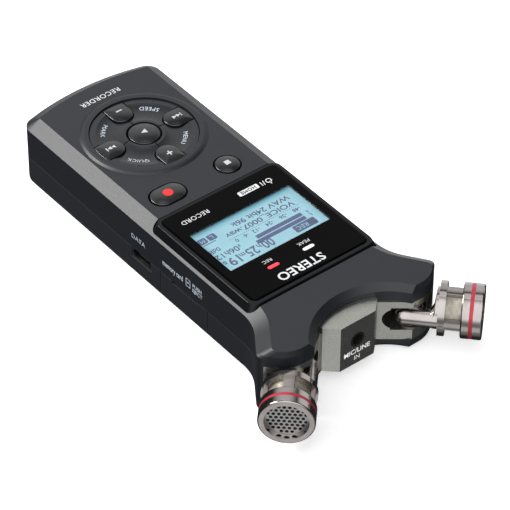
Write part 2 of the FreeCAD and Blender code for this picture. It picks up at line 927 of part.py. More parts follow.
def rear_bosses(piece):
    """Bosses for the case screws, with a seat for each head, and the bracket screws' holes."""
    piece.pad([Circle(x, y, d.boss_radius) for x, y in BOSSES], d.door_height, d.case_split)
    holes = [Circle(x, y, d.screw_radius + FIT) for x, y in BOSSES + BRACKET_SCREWS]
    piece.pocket(holes, 0, d.case_split)
    for x, y in BOSSES + BRACKET_SCREWS:
        seat = Circle(x, y, d.screw_head_radius + FIT)
        piece.pocket([seat], 0, screw_seat(y) + d.screw_head_height)


def speaker_holes(piece):
    """Rings of small holes in front of the speaker."""
    holes = [Circle(0, d.speaker_y, d.speaker_hole)]
    for ring in (1, 2):
        count = 6 * ring
        for index in range(count):
            turn = 360 * index / count
            reach = d.speaker_hole_pitch * ring
            holes.append(Circle(reach * cosine(turn), d.speaker_y + reach * sine(turn), d.speaker_hole))
    piece.pocket(holes, 0, d.case_floor)


def battery_door():
    """The rear panel under the batteries. It slides towards the near end and comes off."""
    piece = Piece("battery_door")
    rear_outer(piece)
    beyond = d.case_length / 2 + OVERLAP
    edge = d.door_far - d.door_gap
    piece.pocket([rectangle(-SIDE_OUTSIDE * 2, edge, SIDE_OUTSIDE * 2, beyond)], 0, d.case_split)
    piece.pocket([rectangle(-SIDE_OUTSIDE, -beyond, SIDE_OUTSIDE, edge)], DOOR_TOP, d.case_split)
    tab = d.door_tab_width / 2
    tab_low = d.case_floor + SLACK
    overlap = edge - OVERLAP
    tongue = rectangle(-tab, overlap, tab, edge + d.door_tab_length)
    piece.pad([tongue], tab_low, tab_low + d.door_tab_thickness)
    rib = d.door_rib_length / 2
    middle = (edge - d.case_length / 2) / 2
    grooves = []
    for index in range(-2, 3):
        y = middle + index * d.door_rib_pitch
        grooves.append(rectangle(-rib, y, rib, y + d.door_rib_pitch / 2))
    piece.pocket(grooves, 0, d.door_rib_depth)


# ---- display


def display_frame():
    piece = Piece("display_frame")
    half = d.frame_half_width - d.frame_slope
    rim = rectangle(
        -half, d.frame_near + d.frame_slope / 2, half, d.frame_far - d.frame_slope / 2, d.frame_corner
    )
    piece.loft([(frame_outline(), d.frame_base), (rim, d.frame_rim)])
    piece.pocket([window_outline(FIT)], d.window_base, d.frame_rim)
    lcd = rectangle(-d.lcd_half_width - FIT, d.lcd_near, d.lcd_half_width + FIT, d.lcd_far)
    piece.pocket([lcd], d.frame_base, d.window_base)
    leds = [led_outline(x, SLACK) for x in (d.peak_led_x, d.record_led_x)]
    piece.pocket(leds, d.frame_base, d.window_base)
    piece.round_edges(d.frame_edge_round, flat_at(d.frame_rim))


def led_outline(x, gap=0):
    radius = d.led_width / 2 + gap
    return stadium(x, d.led_y, (d.led_length - d.led_width) / 2, radius)


def display_window():
    piece = Piece("display_window")
    piece.pad([window_outline()], d.window_base, d.window_top)
    piece.round_edges(d.window_bevel, flat_at(d.window_top))


def flat_piece(name, outline, low, high):
    """A plate of one outline."""
    piece = Piece(name)
    piece.pad([outline], low, high)
    return piece


def display_inside():
    lcd = rectangle(-d.lcd_half_width, d.lcd_near + FIT, d.lcd_half_width, d.lcd_far - FIT)
    flat_piece("lcd_panel", lcd, d.lcd_base, d.lcd_top)
    light = rectangle(
        OVERLAP - d.lcd_half_width, d.lcd_near + OVERLAP, d.lcd_half_width - OVERLAP, d.lcd_far - OVERLAP
    )
    flat_piece("lcd_backlight", light, d.backlight_base, d.lcd_base)
    for name, x in (("peak_light", d.peak_led_x), ("record_light", d.record_led_x)):
        flat_piece(name, led_outline(x), d.led_base, d.window_base)


# ---- keys: each slides down by its travel, and springs back


def play_key():
    piece = Piece("play_key")
    piece.pad([Circle(0, 0, d.play_radius)], d.key_base, d.play_top)
    piece.round_edges(d.key_round, flat_at(d.play_top))
    piece.place(0, d.dial_y, 0)


def finger_outline(out=0):
    """A finger key pointing to +Y from the middle of the dial: round inside, following the dial outside."""
    half = d.finger_width / 2 + out
    inner = d.finger_inner - out
    outer = d.dial_key_radius
    reach = root(outer * outer - half * half)
    return [
        (0, inner, half),
        (half, inner + half),
        (half, reach, outer),
        (-half, reach),
        (-half, inner + half, half),
    ]


def finger_key(name, turn):
    piece = Piece(name)
    piece.pad([finger_outline()], d.key_base, d.finger_top)
    piece.round_edges(d.finger_round, flat_at(d.finger_top))
    piece.place(0, d.dial_y, 0, turn)


def sector_key(name, turn):
    """A dished key between two finger keys, drawn in the first quadrant of the dial."""
    piece = Piece(name)
    gap = d.finger_gap / 2
    inner = d.play_opening
    outer = d.dial_key_radius
    outline = [
        (root(inner * inner - gap * gap), gap),
        (root(outer * outer - gap * gap), gap, outer),
        (gap, root(outer * outer - gap * gap)),
        (gap, root(inner * inner - gap * gap), -inner),
    ]
    piece.pad([outline], d.key_base, d.sector_top)
    half = d.finger_width / 2 + d.finger_gap
    start = d.finger_inner - d.finger_gap
    beyond = d.dial_opening + OVERLAP
    upright = [
        (0, start, half),
        (half, start + half),
        (half, beyond),
        (-half, beyond),
        (-half, start + half, half),
    ]
    level = [
        (start, 0, half),
        (start + half, -half),
        (beyond, -half),
        (beyond, half),
        (start + half, half, half),
    ]
    piece.pocket([upright], d.key_base, d.sector_top)
    piece.pocket([level], d.key_base, d.sector_top)
    dish(piece)
    piece.place(0, d.dial_y, 0, turn)


def dish(piece):
    """The shallow round dish in the sector keys, with its outer step."""
    span = d.sector_step - d.sector_inner
    depth = d.sector_dish_depth
    bend = (span * span / 4 + depth * depth) / (2 * depth)
    piece.groove([
        (d.sector_inner, d.sector_top, bend),
        (d.sector_step, d.sector_top),
        (d.sector_step, d.sector_top + OVERLAP),
        (d.sector_inner, d.sector_top + OVERLAP),
    ])


def side_keys():
    stop = Piece("stop_key")
    stop.pad([Circle(d.stop_x, d.side_key_y, d.stop_radius)], d.key_base, d.side_key_top)
    stop.round_edges(d.key_round, flat_at(d.side_key_top))
    record = Piece("record_key")
    outline = stadium(d.record_x, d.side_key_y, d.record_half_straight, d.stop_radius)
    record.pad([outline], d.key_base, d.side_key_top)
    record.round_edges(d.key_round, flat_at(d.side_key_top))


def all_keys():
    play_key()
    for name, turn in (("plus_key", 0), ("rewind_key", 90), ("minus_key", 180), ("forward_key", 270)):
        finger_key(name, turn)
    for name, turn in (("quick_key", 0), ("menu_key", 90), ("playback_key", 180), ("mark_key", 270)):
        sector_key(name, turn)
    side_keys()


def key_places():
    """The middle of each key in plan: play, four finger keys, four sector keys, stop and record."""
    places = [(0, d.dial_y)]
    finger = d.finger_inner + d.finger_width / 2
    for turn in range(0, 360, 90):
        places.append((finger * cosine(turn), d.dial_y + finger * sine(turn)))
        places.append((finger * cosine(turn + 45), d.dial_y + finger * sine(turn + 45)))
    places.append((d.stop_x, d.side_key_y))
    places.append((d.record_x, d.side_key_y))
    return places


# ---- boards and what they carry


def key_board():
    half = d.board_half_width
    outline = rectangle(-half, d.key_board_near, half, d.key_board_far)
    flat_piece("key_board", outline, d.key_board_base, KEY_BOARD_TOP)


def keypad_membrane():
    half = d.cavity_step_half_width - 1
    outline = rectangle(-half, d.key_board_near + 2, half, d.frame_near, d.cavity_corner)
    flat_piece("keypad_membrane", outline, d.membrane_base, MEMBRANE_TOP)


def dome_switches():
    domes = []
    for index, (x, y) in enumerate(key_places()):
        domes.append(cylinder(f"dome_{index}", d.dome_radius, d.dome_thickness, x, y, KEY_BOARD_TOP))
    group("dome_switches", domes)


def main_board():
    piece = Piece("main_board")
    half = d.board_half_width
    outline = rectangle(-half, d.main_board_near, half, d.main_board_far)
    piece.pad([outline], d.main_board_base, MAIN_BOARD_TOP)
    jack = d.phones_body / 2 + SLACK
    notch = rectangle(
        -half - OVERLAP, d.phones_y - jack, d.phones_depth + OVERLAP - half, d.phones_y + jack
    )
    piece.pocket([notch], d.main_board_base, MAIN_BOARD_TOP)


def data_port():
    piece = Piece("data_port")
    outer = d.case_half_width - d.port_panel_depth
    piece.pad([port_outline()], outer - d.port_depth, outer, "YZ")
    mouth = d.port_depth - d.port_wall * 3
    piece.pocket([port_outline(-d.port_wall)], outer - mouth, outer, "YZ")
    tongue_half = d.port_width / 2 - d.port_wall * 4
    tongue = rectangle(
        d.port_y - tongue_half, d.port_z - d.port_wall, d.port_y + tongue_half, d.port_z + d.port_wall
    )
    piece.pad([tongue], outer - mouth - d.port_wall, outer - 1, "YZ")


def card_socket():
    piece = Piece("card_socket")
    outer = d.cavity_half_width - SLACK * 2
    half = d.card_body_width / 2
    body = rectangle(outer - d.card_body_depth, d.card_y - half, outer, d.card_y + half)
    piece.pad([body], MAIN_BOARD_TOP, d.card_z + d.card_slit)
    piece.pocket([card_outline()], outer - d.card_body_depth + OVERLAP, outer, "YZ")


def phones_jack():
    piece = Piece("phones_jack")
    outer = d.cavity_half_width - SLACK * 2
    rise = d.phones_body / 2
    body = rectangle(d.phones_y - rise, d.phones_z - rise, d.phones_y + rise, d.phones_z + rise)
    piece.pad([body], -outer, d.phones_depth - outer, "YZ")
    ring = Circle(d.phones_y, d.phones_z, d.jack_ring)
    piece.pad([ring], SLACK - d.case_half_width, -outer, "YZ")
    bore = Circle(d.phones_y, d.phones_z, d.jack_bore)
    piece.pocket([bore], SLACK - d.case_half_width, d.phones_depth - outer - OVERLAP, "YZ")


def mic_input_jack():
    piece = Piece("mic_input_jack")
    front = d.block_front
    back = front - d.mic_jack_length
    piece.pad([Circle(0, d.mic_jack_z, d.mic_jack_body)], back, front - 2, "XZ")
    piece.pad([Circle(0, d.mic_jack_z, d.jack_ring)], front - 2, front, "XZ")
    piece.pocket([Circle(0, d.mic_jack_z, d.jack_bore)], back + OVERLAP, front, "XZ")


def hold_switch():
    outer = d.cavity_half_width - SLACK * 2
    half = d.hold_window_length / 2
    body = rectangle(-outer, d.hold_y - half, d.hold_body_depth - outer, d.hold_y + half)
    flat_piece("hold_switch", body, MAIN_BOARD_TOP, d.hold_z + d.hold_window_height / 2)
    slider = Piece("hold_slider")
    knob_half = d.hold_knob_length / 2
    rise = d.hold_knob_height / 2
    low = d.hold_z - rise
    high = d.hold_z + rise
    knob = rectangle(d.hold_y - knob_half, low, d.hold_y + knob_half, high, rise - SLACK)
    slider.pad([knob], -d.case_half_width - d.hold_proud, -outer - FIT, "YZ")
    ridges = []
    for index in (-1, 0, 1):
        y = d.hold_y + index * d.hold_ridge_pitch
        ridges.append(rectangle(y - d.hold_ridge_width / 2, low, y + d.hold_ridge_width / 2, high))
    ridge_base = d.hold_proud - d.hold_ridge
    slider.pocket(ridges, -d.case_half_width - d.hold_proud, -d.case_half_width - ridge_base, "YZ")


def speaker():
    piece = Piece("speaker")
    low = d.case_floor
    piece.pad([Circle(0, d.speaker_y, d.speaker_radius)], low, low + OVERLAP)
    piece.pad([Circle(0, d.speaker_y, d.speaker_magnet_radius)], low + OVERLAP, low + d.speaker_height)


def tripod_insert():
    piece = Piece("tripod_insert")
    piece.pad([Circle(0, d.tripod_y, d.tripod_radius - FIT)], SLACK, d.tripod_height)
    piece.pocket([Circle(0, d.tripod_y, d.tripod_bore)], SLACK, d.tripod_height)


# ---- batteries


def battery_cells():
    cells = []
    far = d.cell_near + d.cell_length
    for index, side in enumerate((1, -1)):
        x = side * d.cell_spacing / 2
        body = cylinder(f"cell_body_{index}", d.cell_radius, d.cell_length, x, d.cell_near, d.cell_z, "Y")
        nub_y = far if side > 0 else d.cell_near - d.cell_nub_length
        nub = cylinder(f"cell_nub_{index}", d.cell_nub_radius, d.cell_nub_length, x, nub_y, d.cell_z, "Y")
        cells.append(fused(f"cell_{index}", [body, nub]))
    group("battery_cells", cells)


def battery_contacts():
    """A plate at each end of each cell."""
    plates = []
    near_plate = d.cavity_near_end + SLACK
    far_plate = d.cell_near + d.cell_length + d.cell_nub_length
    for index, side in enumerate((1, -1)):
        x = side * d.cell_spacing / 2
        left = x - d.contact_width / 2
        right = x + d.contact_width / 2
        low = d.cell_z - d.contact_width / 2
        high = d.cell_z + d.contact_width / 2
        for place, near in (("near", near_plate), ("far", far_plate)):
            far = near + d.contact_thickness
            plates.append(block(f"plate_{place}_{index}", left, near, low, right, far, high))
    group("battery_contacts", plates)


# ---- fasteners


def screw(name, x, y, head_low, length):
    """A cross-head screw pointing up, with its head at the bottom."""
    shank_low = head_low + d.screw_head_height
    head = cylinder(name + "_head", d.screw_head_radius, d.screw_head_height, x, y, head_low)
    shank = cylinder(name + "_shank", d.screw_radius, length, x, y, shank_low - FIT)
    whole = fused(name + "_blank", [head, shank])
    arm = d.screw_head_radius * d.screw_cross_reach
    slot = d.screw_head_radius * d.screw_cross_width
    low = head_low - SLACK
    high = head_low + d.screw_head_height / 2
    along = block(name + "_slot_x", x - arm, y - slot, low, x + arm, y + slot, high)
    across = block(name + "_slot_y", x - slot, y - arm, low, x + slot, y + arm, high)
    return cut(name, whole, [along, across])


def screws():
    case = []
    for index, (x, y) in enumerate(BOSSES):
        seat = screw_seat(y)
        reach = d.case_split + d.screw_length - OVERLAP - seat - d.screw_head_height
        case.append(screw(f"case_screw_{index}", x, y, seat, reach))
    group("case_screws", case)
    bracket = []
    for index, (x, y) in enumerate(BRACKET_SCREWS):
        bracket.append(screw(f"bracket_screw_{index}", x, y, screw_seat(y), d.bracket_screw_length))
    group("bracket_screws", bracket)


# ---- microphone bracket


def slot_tunnel(side):
    """The rounded inner end of a slot, seen from the front as (X, Z) corners."""
    half = (d.slot_high - d.slot_low) / 2
    middle = (d.slot_high + d.slot_low) / 2
    inner = d.slot_end
    outer = d.pivot_x
    right = [
        (inner + half, d.slot_low),
        (outer, d.slot_low),
        (outer, d.slot_high),
        (inner + half, d.slot_high, half),
        (inner, middle, half),
    ]
    if side > 0:
        return right
    return [
        (-inner - half, d.slot_low, half),
        (-inner, middle, half),
        (-inner - half, d.slot_high),
        (-outer, d.slot_high),
        (-outer, d.slot_low),
    ]


def bracket_half(name, low, high, slot_low, slot_high):
    """One half of the bracket, with its part of each slot, the pin holes and the jack's seat."""
    piece = Piece(name)
    piece.pad([bracket_outline()], low, high)
    for side in (1, -1):
        piece.pocket([Circle(side * d.pivot_x, d.pivot_y, d.slot_radius)], slot_low, slot_high)
    pins = [Circle(side * d.pivot_x, d.pivot_y, d.pin_radius) for side in (1, -1)]
    piece.pocket(pins, d.pin_low, d.pin_high)
    for side in (1, -1):
        piece.pocket([slot_tunnel(side)], d.slot_back, d.case_length / 2, "XZ")
    piece.pocket([Circle(0, d.mic_jack_z, d.mic_jack_body + FIT)], d.bracket_back, d.block_front - 2, "XZ")
    piece.pocket([Circle(0, d.mic_jack_z, d.jack_ring + FIT)], d.block_front - 3, d.block_front, "XZ")
    return piece


def microphone_bracket():
    upper = bracket_half(
        "mic_bracket_upper", d.bracket_split, d.lip_height, d.bracket_split, d.slot_high
    )
    radius = d.notch_radius - FIT
    back = d.notch_centre - root(radius * radius - d.block_facet_x * d.block_facet_x)
    top = [
        (-d.block_facet_x, back, radius),
        (d.block_facet_x, back),
        (d.block_facet_x, d.block_facet_y),
        (d.block_half_width, d.block_front),
        (-d.block_half_width, d.block_front),
        (-d.block_facet_x, d.block_facet_y),
    ]
    upper.pad([top], d.lip_height, d.block_top)
    lower = bracket_half(
        "mic_bracket_lower", d.ear_height, d.bracket_split, d.slot_low, d.bracket_split
    )
    for piece in (upper, lower):
        holes = [Circle(x, y, d.screw_radius) for x, y in BRACKET_SCREWS]
        piece.pocket(holes, d.ear_height, d.bracket_split + OVERLAP)


def pivot_pins():
    pins = []
    for index, side in enumerate((1, -1)):
        length = d.pin_high - d.pin_low
        pins.append(cylinder(f"pin_{index}", d.pin_radius, length, side * d.pivot_x, d.pivot_y, d.pin_low))
    group("mic_pivot_pins", pins)


# ---- microphones: each is drawn along +Y from its pivot, then turned outwards about the pivot


CAP_START = d.mic_reach - d.cap_length
WINDOW_START = CAP_START - d.cage_window
CAGE_START = WINDOW_START - d.cage_ring
BELL_START = CAGE_START - d.bell_length
BELL_WAIST = CAGE_START - d.bell_rim - d.bell_flare


def place_mic(piece, side):
    piece.place(side * d.pivot_x, d.pivot_y, d.mic_height, -side * d.mic_angle)


def mic_arm(prefix, side):
    """The hub on its pin, the tube with its round tail, and the bell that flares out of the tube."""
    piece = Piece(prefix + "_arm")
    low = d.hub_low - d.mic_height
    high = d.hub_high - d.mic_height
    offset = -side * d.tube_offset
    piece.pad([Circle(offset, 0, d.tube_radius)], -d.tube_tail, CAGE_START, "XZ")
    piece.round_edges(d.tube_tail_round, flat_at(-d.tube_tail, "Y"))
    piece.pad([Circle(0, 0, d.hub_radius)], low, high)
    rim = Circle(0, 0, d.bell_radius)
    neck = Circle(offset, 0, d.tube_radius - SLACK)
    waist = Circle(offset * d.bell_waist, 0, d.bell_waist_radius)
    piece.loft([(neck, BELL_START), (waist, BELL_WAIST), (rim, CAGE_START - d.bell_rim)], "XZ")
    piece.pad([rim], CAGE_START - d.bell_rim, CAGE_START, "XZ")
    piece.pocket([Circle(0, 0, d.pin_radius + d.pin_clearance)], low, high)
    place_mic(piece, side)


def ring_profile(inner, outer, start, end):
    return [(inner, start), (outer, start), (outer, end), (inner, end)]


def mic_cage(prefix, side):
    """The ring behind the windows and its four pillars."""
    piece = Piece(prefix + "_cage")
    piece.revolve(ring_profile(d.cage_bore, d.cage_radius, CAGE_START, WINDOW_START), "XY")
    half = d.pillar_width / 2
    inner = d.cage_bore
    outer = d.pillar_radius
    chord = root(outer * outer - half * half)
    reach = root(inner * inner - half * half)
    upright = [(half, chord, outer), (-half, chord), (-half, reach, -inner), (half, reach)]
    level = [(chord, -half, outer), (chord, half), (reach, half, -inner), (reach, -half)]
    for outline in (upright, level):
        opposite = [(-corner[0], -corner[1], *corner[2:]) for corner in outline]
        for part in (outline, opposite):
            piece.pad([part], WINDOW_START, CAP_START, "XZ")
    screw_hole = Circle(CAGE_START + d.cage_ring / 2, 0, d.cage_screw_radius)
    between = cage_side_levels(side, d.cage_radius - d.cage_screw_depth, d.cage_radius)
    piece.pocket([screw_hole], *between, "YZ")
    place_mic(piece, side)


def mic_cap(prefix, side):
    piece = Piece(prefix + "_cap")
    band = d.mic_reach - d.band_centre
    half = d.band_width / 2
    edge = d.cap_edge
    groove = d.cap_radius - d.band_depth
    piece.revolve(
        [
            (d.cap_bore, CAP_START),
            (d.cap_radius - edge, CAP_START, edge),
            (d.cap_radius, CAP_START + edge),
            (d.cap_radius, band - half),
            (groove, band - half),
            (groove, band + half),
            (d.cap_radius, band + half),
            (d.cap_radius, d.mic_reach - edge, edge),
            (d.cap_radius - edge, d.mic_reach),
            (d.cap_bore, d.mic_reach),
        ],
        "XY",
    )
    place_mic(piece, side)
    ring = Piece(prefix + "_red_band")
    ring.revolve(ring_profile(groove, d.cap_radius - FIT, band - half, band + half), "XY")
    place_mic(ring, side)


def mic_grille(prefix, side):
    """The perforated disc: holes on a triangular grid, as far out as they fit."""
    start = d.mic_reach - d.grille_recess - d.grille_thickness
    pitch = float(d.grille_pitch)
    hole = float(d.grille_hole)
    limit = float(d.grille_radius - d.grille_rim) - hole
    direction = FreeCAD.Vector(0, 1, 0)
    wires = [circle_wire(0, 0, float(d.grille_radius), direction)]
    rows = int(limit / pitch) + 2
    for row in range(-rows, rows + 1):
        for column in range(-rows, rows + 1):
            x = pitch * (column + row / 2)
            z = pitch * row * math.sqrt(3) / 2
            if math.hypot(x, z) < limit:
                wires.append(circle_wire(x, z, hole, direction))
    disc = Part.Face([wires[0]]).cut(Part.makeCompound([Part.Face(wire) for wire in wires[1:]]))
    solid = disc.extrude(direction * float(d.grille_thickness))
    feature = document.addObject("Part::Feature", prefix + "_grille")
    feature.Shape = solid.Solids[0]
    angle = -side * float(d.mic_angle)
    turn = FreeCAD.Rotation(FreeCAD.Vector(0, 0, 1), angle)
    pivot = FreeCAD.Vector(side * float(d.pivot_x), float(d.pivot_y), float(d.mic_height))
    feature.Placement = FreeCAD.Placement(pivot + turn.multVec(direction * float(start)), turn)
    keep(feature, prefix + "_grille")


def circle_wire(x, z, radius, direction):
    return Part.Wire(Part.makeCircle(radius, FreeCAD.Vector(x, 0, z), direction))


def mic_inside(prefix, side):
    """The mesh sleeve behind the windows and the capsule."""
    mesh = Piece(prefix + "_mesh")
    mesh.revolve(
        ring_profile(
            d.mesh_radius - d.mesh_wall, d.mesh_radius, WINDOW_START - OVERLAP, CAP_START + OVERLAP
        ),
        "XY",
    )
    place_mic(mesh, side)
    capsule = Piece(prefix + "_capsule")
    front = d.mic_reach - d.grille_recess - d.grille_thickness - FIT
    capsule.revolve(ring_profile(0, d.capsule_radius, front - d.capsule_length, front), "XY")
    place_mic(capsule, side)


def cage_screw(prefix, side):
    """The small cross-head screw in the cage, on the side that faces the other microphone."""
    piece = Piece(prefix + "_cage_screw")
    y = CAGE_START + d.cage_ring / 2
    radius = d.cage_screw_radius - SLACK / 2
    face = d.cage_radius - SLACK
    arm = radius * d.screw_cross_reach
    slot = radius * d.screw_cross_width
    along = rectangle(y - arm, -slot, y + arm, slot)
    across = rectangle(y - slot, -arm, y + slot, arm)
    between = cage_side_levels(side, d.cage_radius - d.cage_screw_depth, face)
    piece.pad([Circle(y, 0, radius)], *between, "YZ")
    for outline in (along, across):
        piece.pocket([outline], *cage_side_levels(side, face - d.cage_screw_cross, face), "YZ")
    place_mic(piece, side)


def cage_side_levels(side, inner, outer):
    """Two distances from the microphone's axis as levels along X, on the side of the other microphone."""
    return (-outer, -inner) if side > 0 else (inner, outer)


def microphone(prefix, side):
    mic_arm(prefix, side)
    mic_cage(prefix, side)
    mic_cap(prefix, side)
    mic_grille(prefix, side)
    mic_inside(prefix, side)
    cage_screw(prefix, side)


def check_and_write():
    """Stops on any failed object, then writes each piece's solid to its own file."""
    document.recompute()
    for thing in document.Objects:
        for state in thing.State:
            if state in ("Invalid", "Error"):
                raise RuntimeError(f"{thing.Label} is {state}")
    for piece in PIECES:
        if piece.Shape.isNull() or not piece.Shape.isValid():
            raise RuntimeError(f"{piece.Label} has no valid shape")
    for piece in PIECES:
        piece.Shape.exportStep(f"parts/{piece.Label}.step")
        print(piece.Label, len(piece.Shape.Solids), round(piece.Shape.Volume, 1))


front_case()
rear_case()
battery_door()
display_frame()
display_window()
display_inside()
all_keys()
key_board()
keypad_membrane()
dome_switches()
main_board()
data_port()
card_socket()
phones_jack()
mic_input_jack()
hold_switch()
speaker()
tripod_insert()
battery_cells()
battery_contacts()
screws()
microphone_bracket()
pivot_pins()
microphone("right_mic", 1)
microphone("left_mic", -1)
check_and_write()
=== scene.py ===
# Looks for a handheld voice recorder with two swinging microphones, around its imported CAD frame.
# Lengths that describe the object are in millimetres and turned into metres by MM.

import math

import bmesh
import bpy
from mathutils import Matrix, Vector
from mathutils.bvhtree import BVHTree


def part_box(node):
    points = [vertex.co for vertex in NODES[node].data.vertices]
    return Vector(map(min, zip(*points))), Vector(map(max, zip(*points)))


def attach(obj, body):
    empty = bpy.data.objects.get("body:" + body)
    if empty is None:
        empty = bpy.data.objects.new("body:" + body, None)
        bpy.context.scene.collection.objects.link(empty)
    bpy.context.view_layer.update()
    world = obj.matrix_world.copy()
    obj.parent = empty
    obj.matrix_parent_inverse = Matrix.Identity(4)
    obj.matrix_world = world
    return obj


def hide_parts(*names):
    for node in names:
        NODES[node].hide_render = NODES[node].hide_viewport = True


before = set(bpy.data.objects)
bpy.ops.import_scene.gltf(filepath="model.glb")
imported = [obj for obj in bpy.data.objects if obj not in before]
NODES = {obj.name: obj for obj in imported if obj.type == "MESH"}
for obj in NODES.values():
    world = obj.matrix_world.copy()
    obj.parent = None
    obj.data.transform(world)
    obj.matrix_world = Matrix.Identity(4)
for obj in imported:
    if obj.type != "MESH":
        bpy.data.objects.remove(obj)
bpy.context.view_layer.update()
MM = 0.001
ROOT_BODY = "recorder"
SIDES = ("left", "right")

# ---- places read off the frame


def span(node):
    """Lowest and highest corner of a CAD node, in millimetres."""
    low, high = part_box(node)
    return low / MM, high / MM


def middle(node):
    low, high = span(node)
    return (low + high) / 2


DIAL = middle("play_key")
STOP = middle("stop_key")
RECORD = middle("record_key")
WINDOW_LOW, WINDOW_HIGH = span("display_window")
BLOCK_FACE = span("mic_input_jack")[1].y

# half the distance between the case's side walls
CASE_SIDE = 25.7

# the visible part of the liquid-crystal panel
LCD_HALF_WIDTH = 19.3
LCD_NEAR = 2.85
LCD_FAR = 23.25

# how far a print stands off the surface under it, and a height that is over everything
PRINT_LIFT = 0.02
OVERHEAD = 30.0

# vertices this close are one vertex: in a flat outline in millimetres, and in a finished mesh in metres
FLAT_WELD = 1e-4
MESH_WELD = 1e-7

# sockets of a Mix node set to colours: its two colours, and its result
MIX_FIRST = 6
MIX_SECOND = 7
MIX_RESULT = 2

# ---- small mesh tools


def linked(name, data):
    """A new object in the scene that shows the data."""
    made = bpy.data.objects.new(name, data)
    bpy.context.scene.collection.objects.link(made)
    return made


def mesh_object(name, vertices, faces):
    """A new smooth object whose vertices are given in millimetres."""
    mesh = bpy.data.meshes.new(name)
    mesh.from_pydata([Vector(v) * MM for v in vertices], [], faces)
    mesh.validate()
    mesh.polygons.foreach_set("use_smooth", [True] * len(mesh.polygons))
    return linked(name, mesh)


def bmesh_from(vertices, faces):
    bm = bmesh.new()
    corners = [bm.verts.new(v) for v in vertices]
    for face in faces:
        bm.faces.new([corners[i] for i in face])
    return bm


def circle(x, y, radius, steps=64):
    turn = 2 * math.pi / steps
    return [(x + radius * math.cos(turn * i), y + radius * math.sin(turn * i)) for i in range(steps)]


def arc(x, y, radius, start, end, steps):
    """Points of an arc from start to end degrees, both included."""
    points = []
    for i in range(steps + 1):
        angle = math.radians(start + (end - start) * i / steps)
        points.append((x + radius * math.cos(angle), y + radius * math.sin(angle)))
    return points


def rounded_box(left, near, right, far, corner, steps=8):
    """A box's outline with round corners of that radius."""
    points = []
    corners = ((right, near, 270), (right, far, 0), (left, far, 90), (left, near, 180))
    for x, y, start in corners:
        inner_x = x - corner if x == right else x + corner
        inner_y = y - corner if y == far else y + corner
        points += arc(inner_x, inner_y, corner, start, start + 90, steps)
    return points


def pill(x, y, length, width, steps=10):
    """A box's outline with half round ends, long in x."""
    radius = width / 2
    half = length / 2 - radius
    return arc(x + half, y, radius, -90, 90, steps) + arc(x - half, y, radius, 90, 270, steps)


def stroke(points, width):
    """The outline of a straight-sided line of that width through the points."""
    left = []
    right = []
    for i, point in enumerate(points):
        before = points[max(i - 1, 0)]
        after = points[min(i + 1, len(points) - 1)]
        along = Vector((after[0] - before[0], after[1] - before[1])).normalized()
        side = Vector((-along.y, along.x)) * width / 2
        left.append((point[0] + side.x, point[1] + side.y))
        right.append((point[0] - side.x, point[1] - side.y))
    return right + left[::-1]


def filled(outlines):
    """Flat triangles inside the outlines, in millimetres; an outline inside another is a hole."""
    curve = bpy.data.curves.new("outline", "CURVE")
    curve.dimensions = "2D"
    curve.fill_mode = "BOTH"
    for outline in outlines:
        spline = curve.splines.new("POLY")
        spline.points.add(len(outline) - 1)
        for point, (x, y) in zip(spline.points, outline):
            point.co = (x, y, 0, 1)
        spline.use_cyclic_u = True
    return flat_parts(curve)


def lettering(text, height, spacing=1.0, weight=0.0):
    """Flat triangles of a line of text, centred on the origin, with capitals of that height.

    spacing widens the gaps between the letters, and weight thickens their strokes.
    """
    curve = bpy.data.curves.new("text", "FONT")
    curve.offset = weight
    curve.body = text
    curve.align_x = "CENTER"
    curve.space_character = spacing
    curve.resolution_u = 3
    vertices, faces = flat_parts(curve)
    scale = height / max(v.y for v in vertices)
    return [Vector((v.x * scale, v.y * scale - height / 2, 0)) for v in vertices], faces


def flat_parts(curve):
    """The vertices and triangles of a filled flat curve, all facing up."""
    holder = linked("holder", curve)
    bpy.context.view_layer.update()
    mesh = bpy.data.meshes.new_from_object(holder.evaluated_get(bpy.context.evaluated_depsgraph_get()))
    bm = bmesh.new()
    bm.from_mesh(mesh)
    bmesh.ops.remove_doubles(bm, verts=bm.verts, dist=FLAT_WELD)
    bmesh.ops.triangulate(bm, faces=bm.faces)
    bm.verts.index_update()
    vertices = [v.co.copy() for v in bm.verts]
    faces = []
    for face in bm.faces:
        order = [v.index for v in face.verts]
        faces.append(order if face.normal.z > 0 else order[::-1])
    bm.free()
    bpy.data.objects.remove(holder)
    bpy.data.meshes.remove(mesh)
    return vertices, faces


def slab(name, outlines, low, high, bevel=0.0):
    """A plate between two heights, in millimetres, with its first outline's upper edge rounded a little."""
    vertices, faces = filled(outlines)
    bm = bmesh_from([(v.x * MM, v.y * MM, high * MM) for v in vertices], faces)
    bmesh.ops.dissolve_limit(bm, angle_limit=0.001, verts=bm.verts, edges=bm.edges)
    rim = [e for e in bm.edges if e.is_boundary]
    for made in bmesh.ops.extrude_edge_only(bm, edges=rim)["geom"]:
        if isinstance(made, bmesh.types.BMVert):
            made.co.z = low * MM
    if bevel:
        sharp = upper_edges(bm, outlines[0], high)
        bmesh.ops.bevel(bm, geom=sharp, offset=bevel * MM, segments=3, profile=0.5, affect="EDGES")
    if len(outlines) == 1:
        bmesh.ops.contextual_create(bm, geom=[e for e in bm.edges if e.is_boundary])
    bmesh.ops.recalc_face_normals(bm, faces=bm.faces)
    mesh = bpy.data.meshes.new(name)
    bm.to_mesh(mesh)
    bm.free()
    return linked(name, mesh)


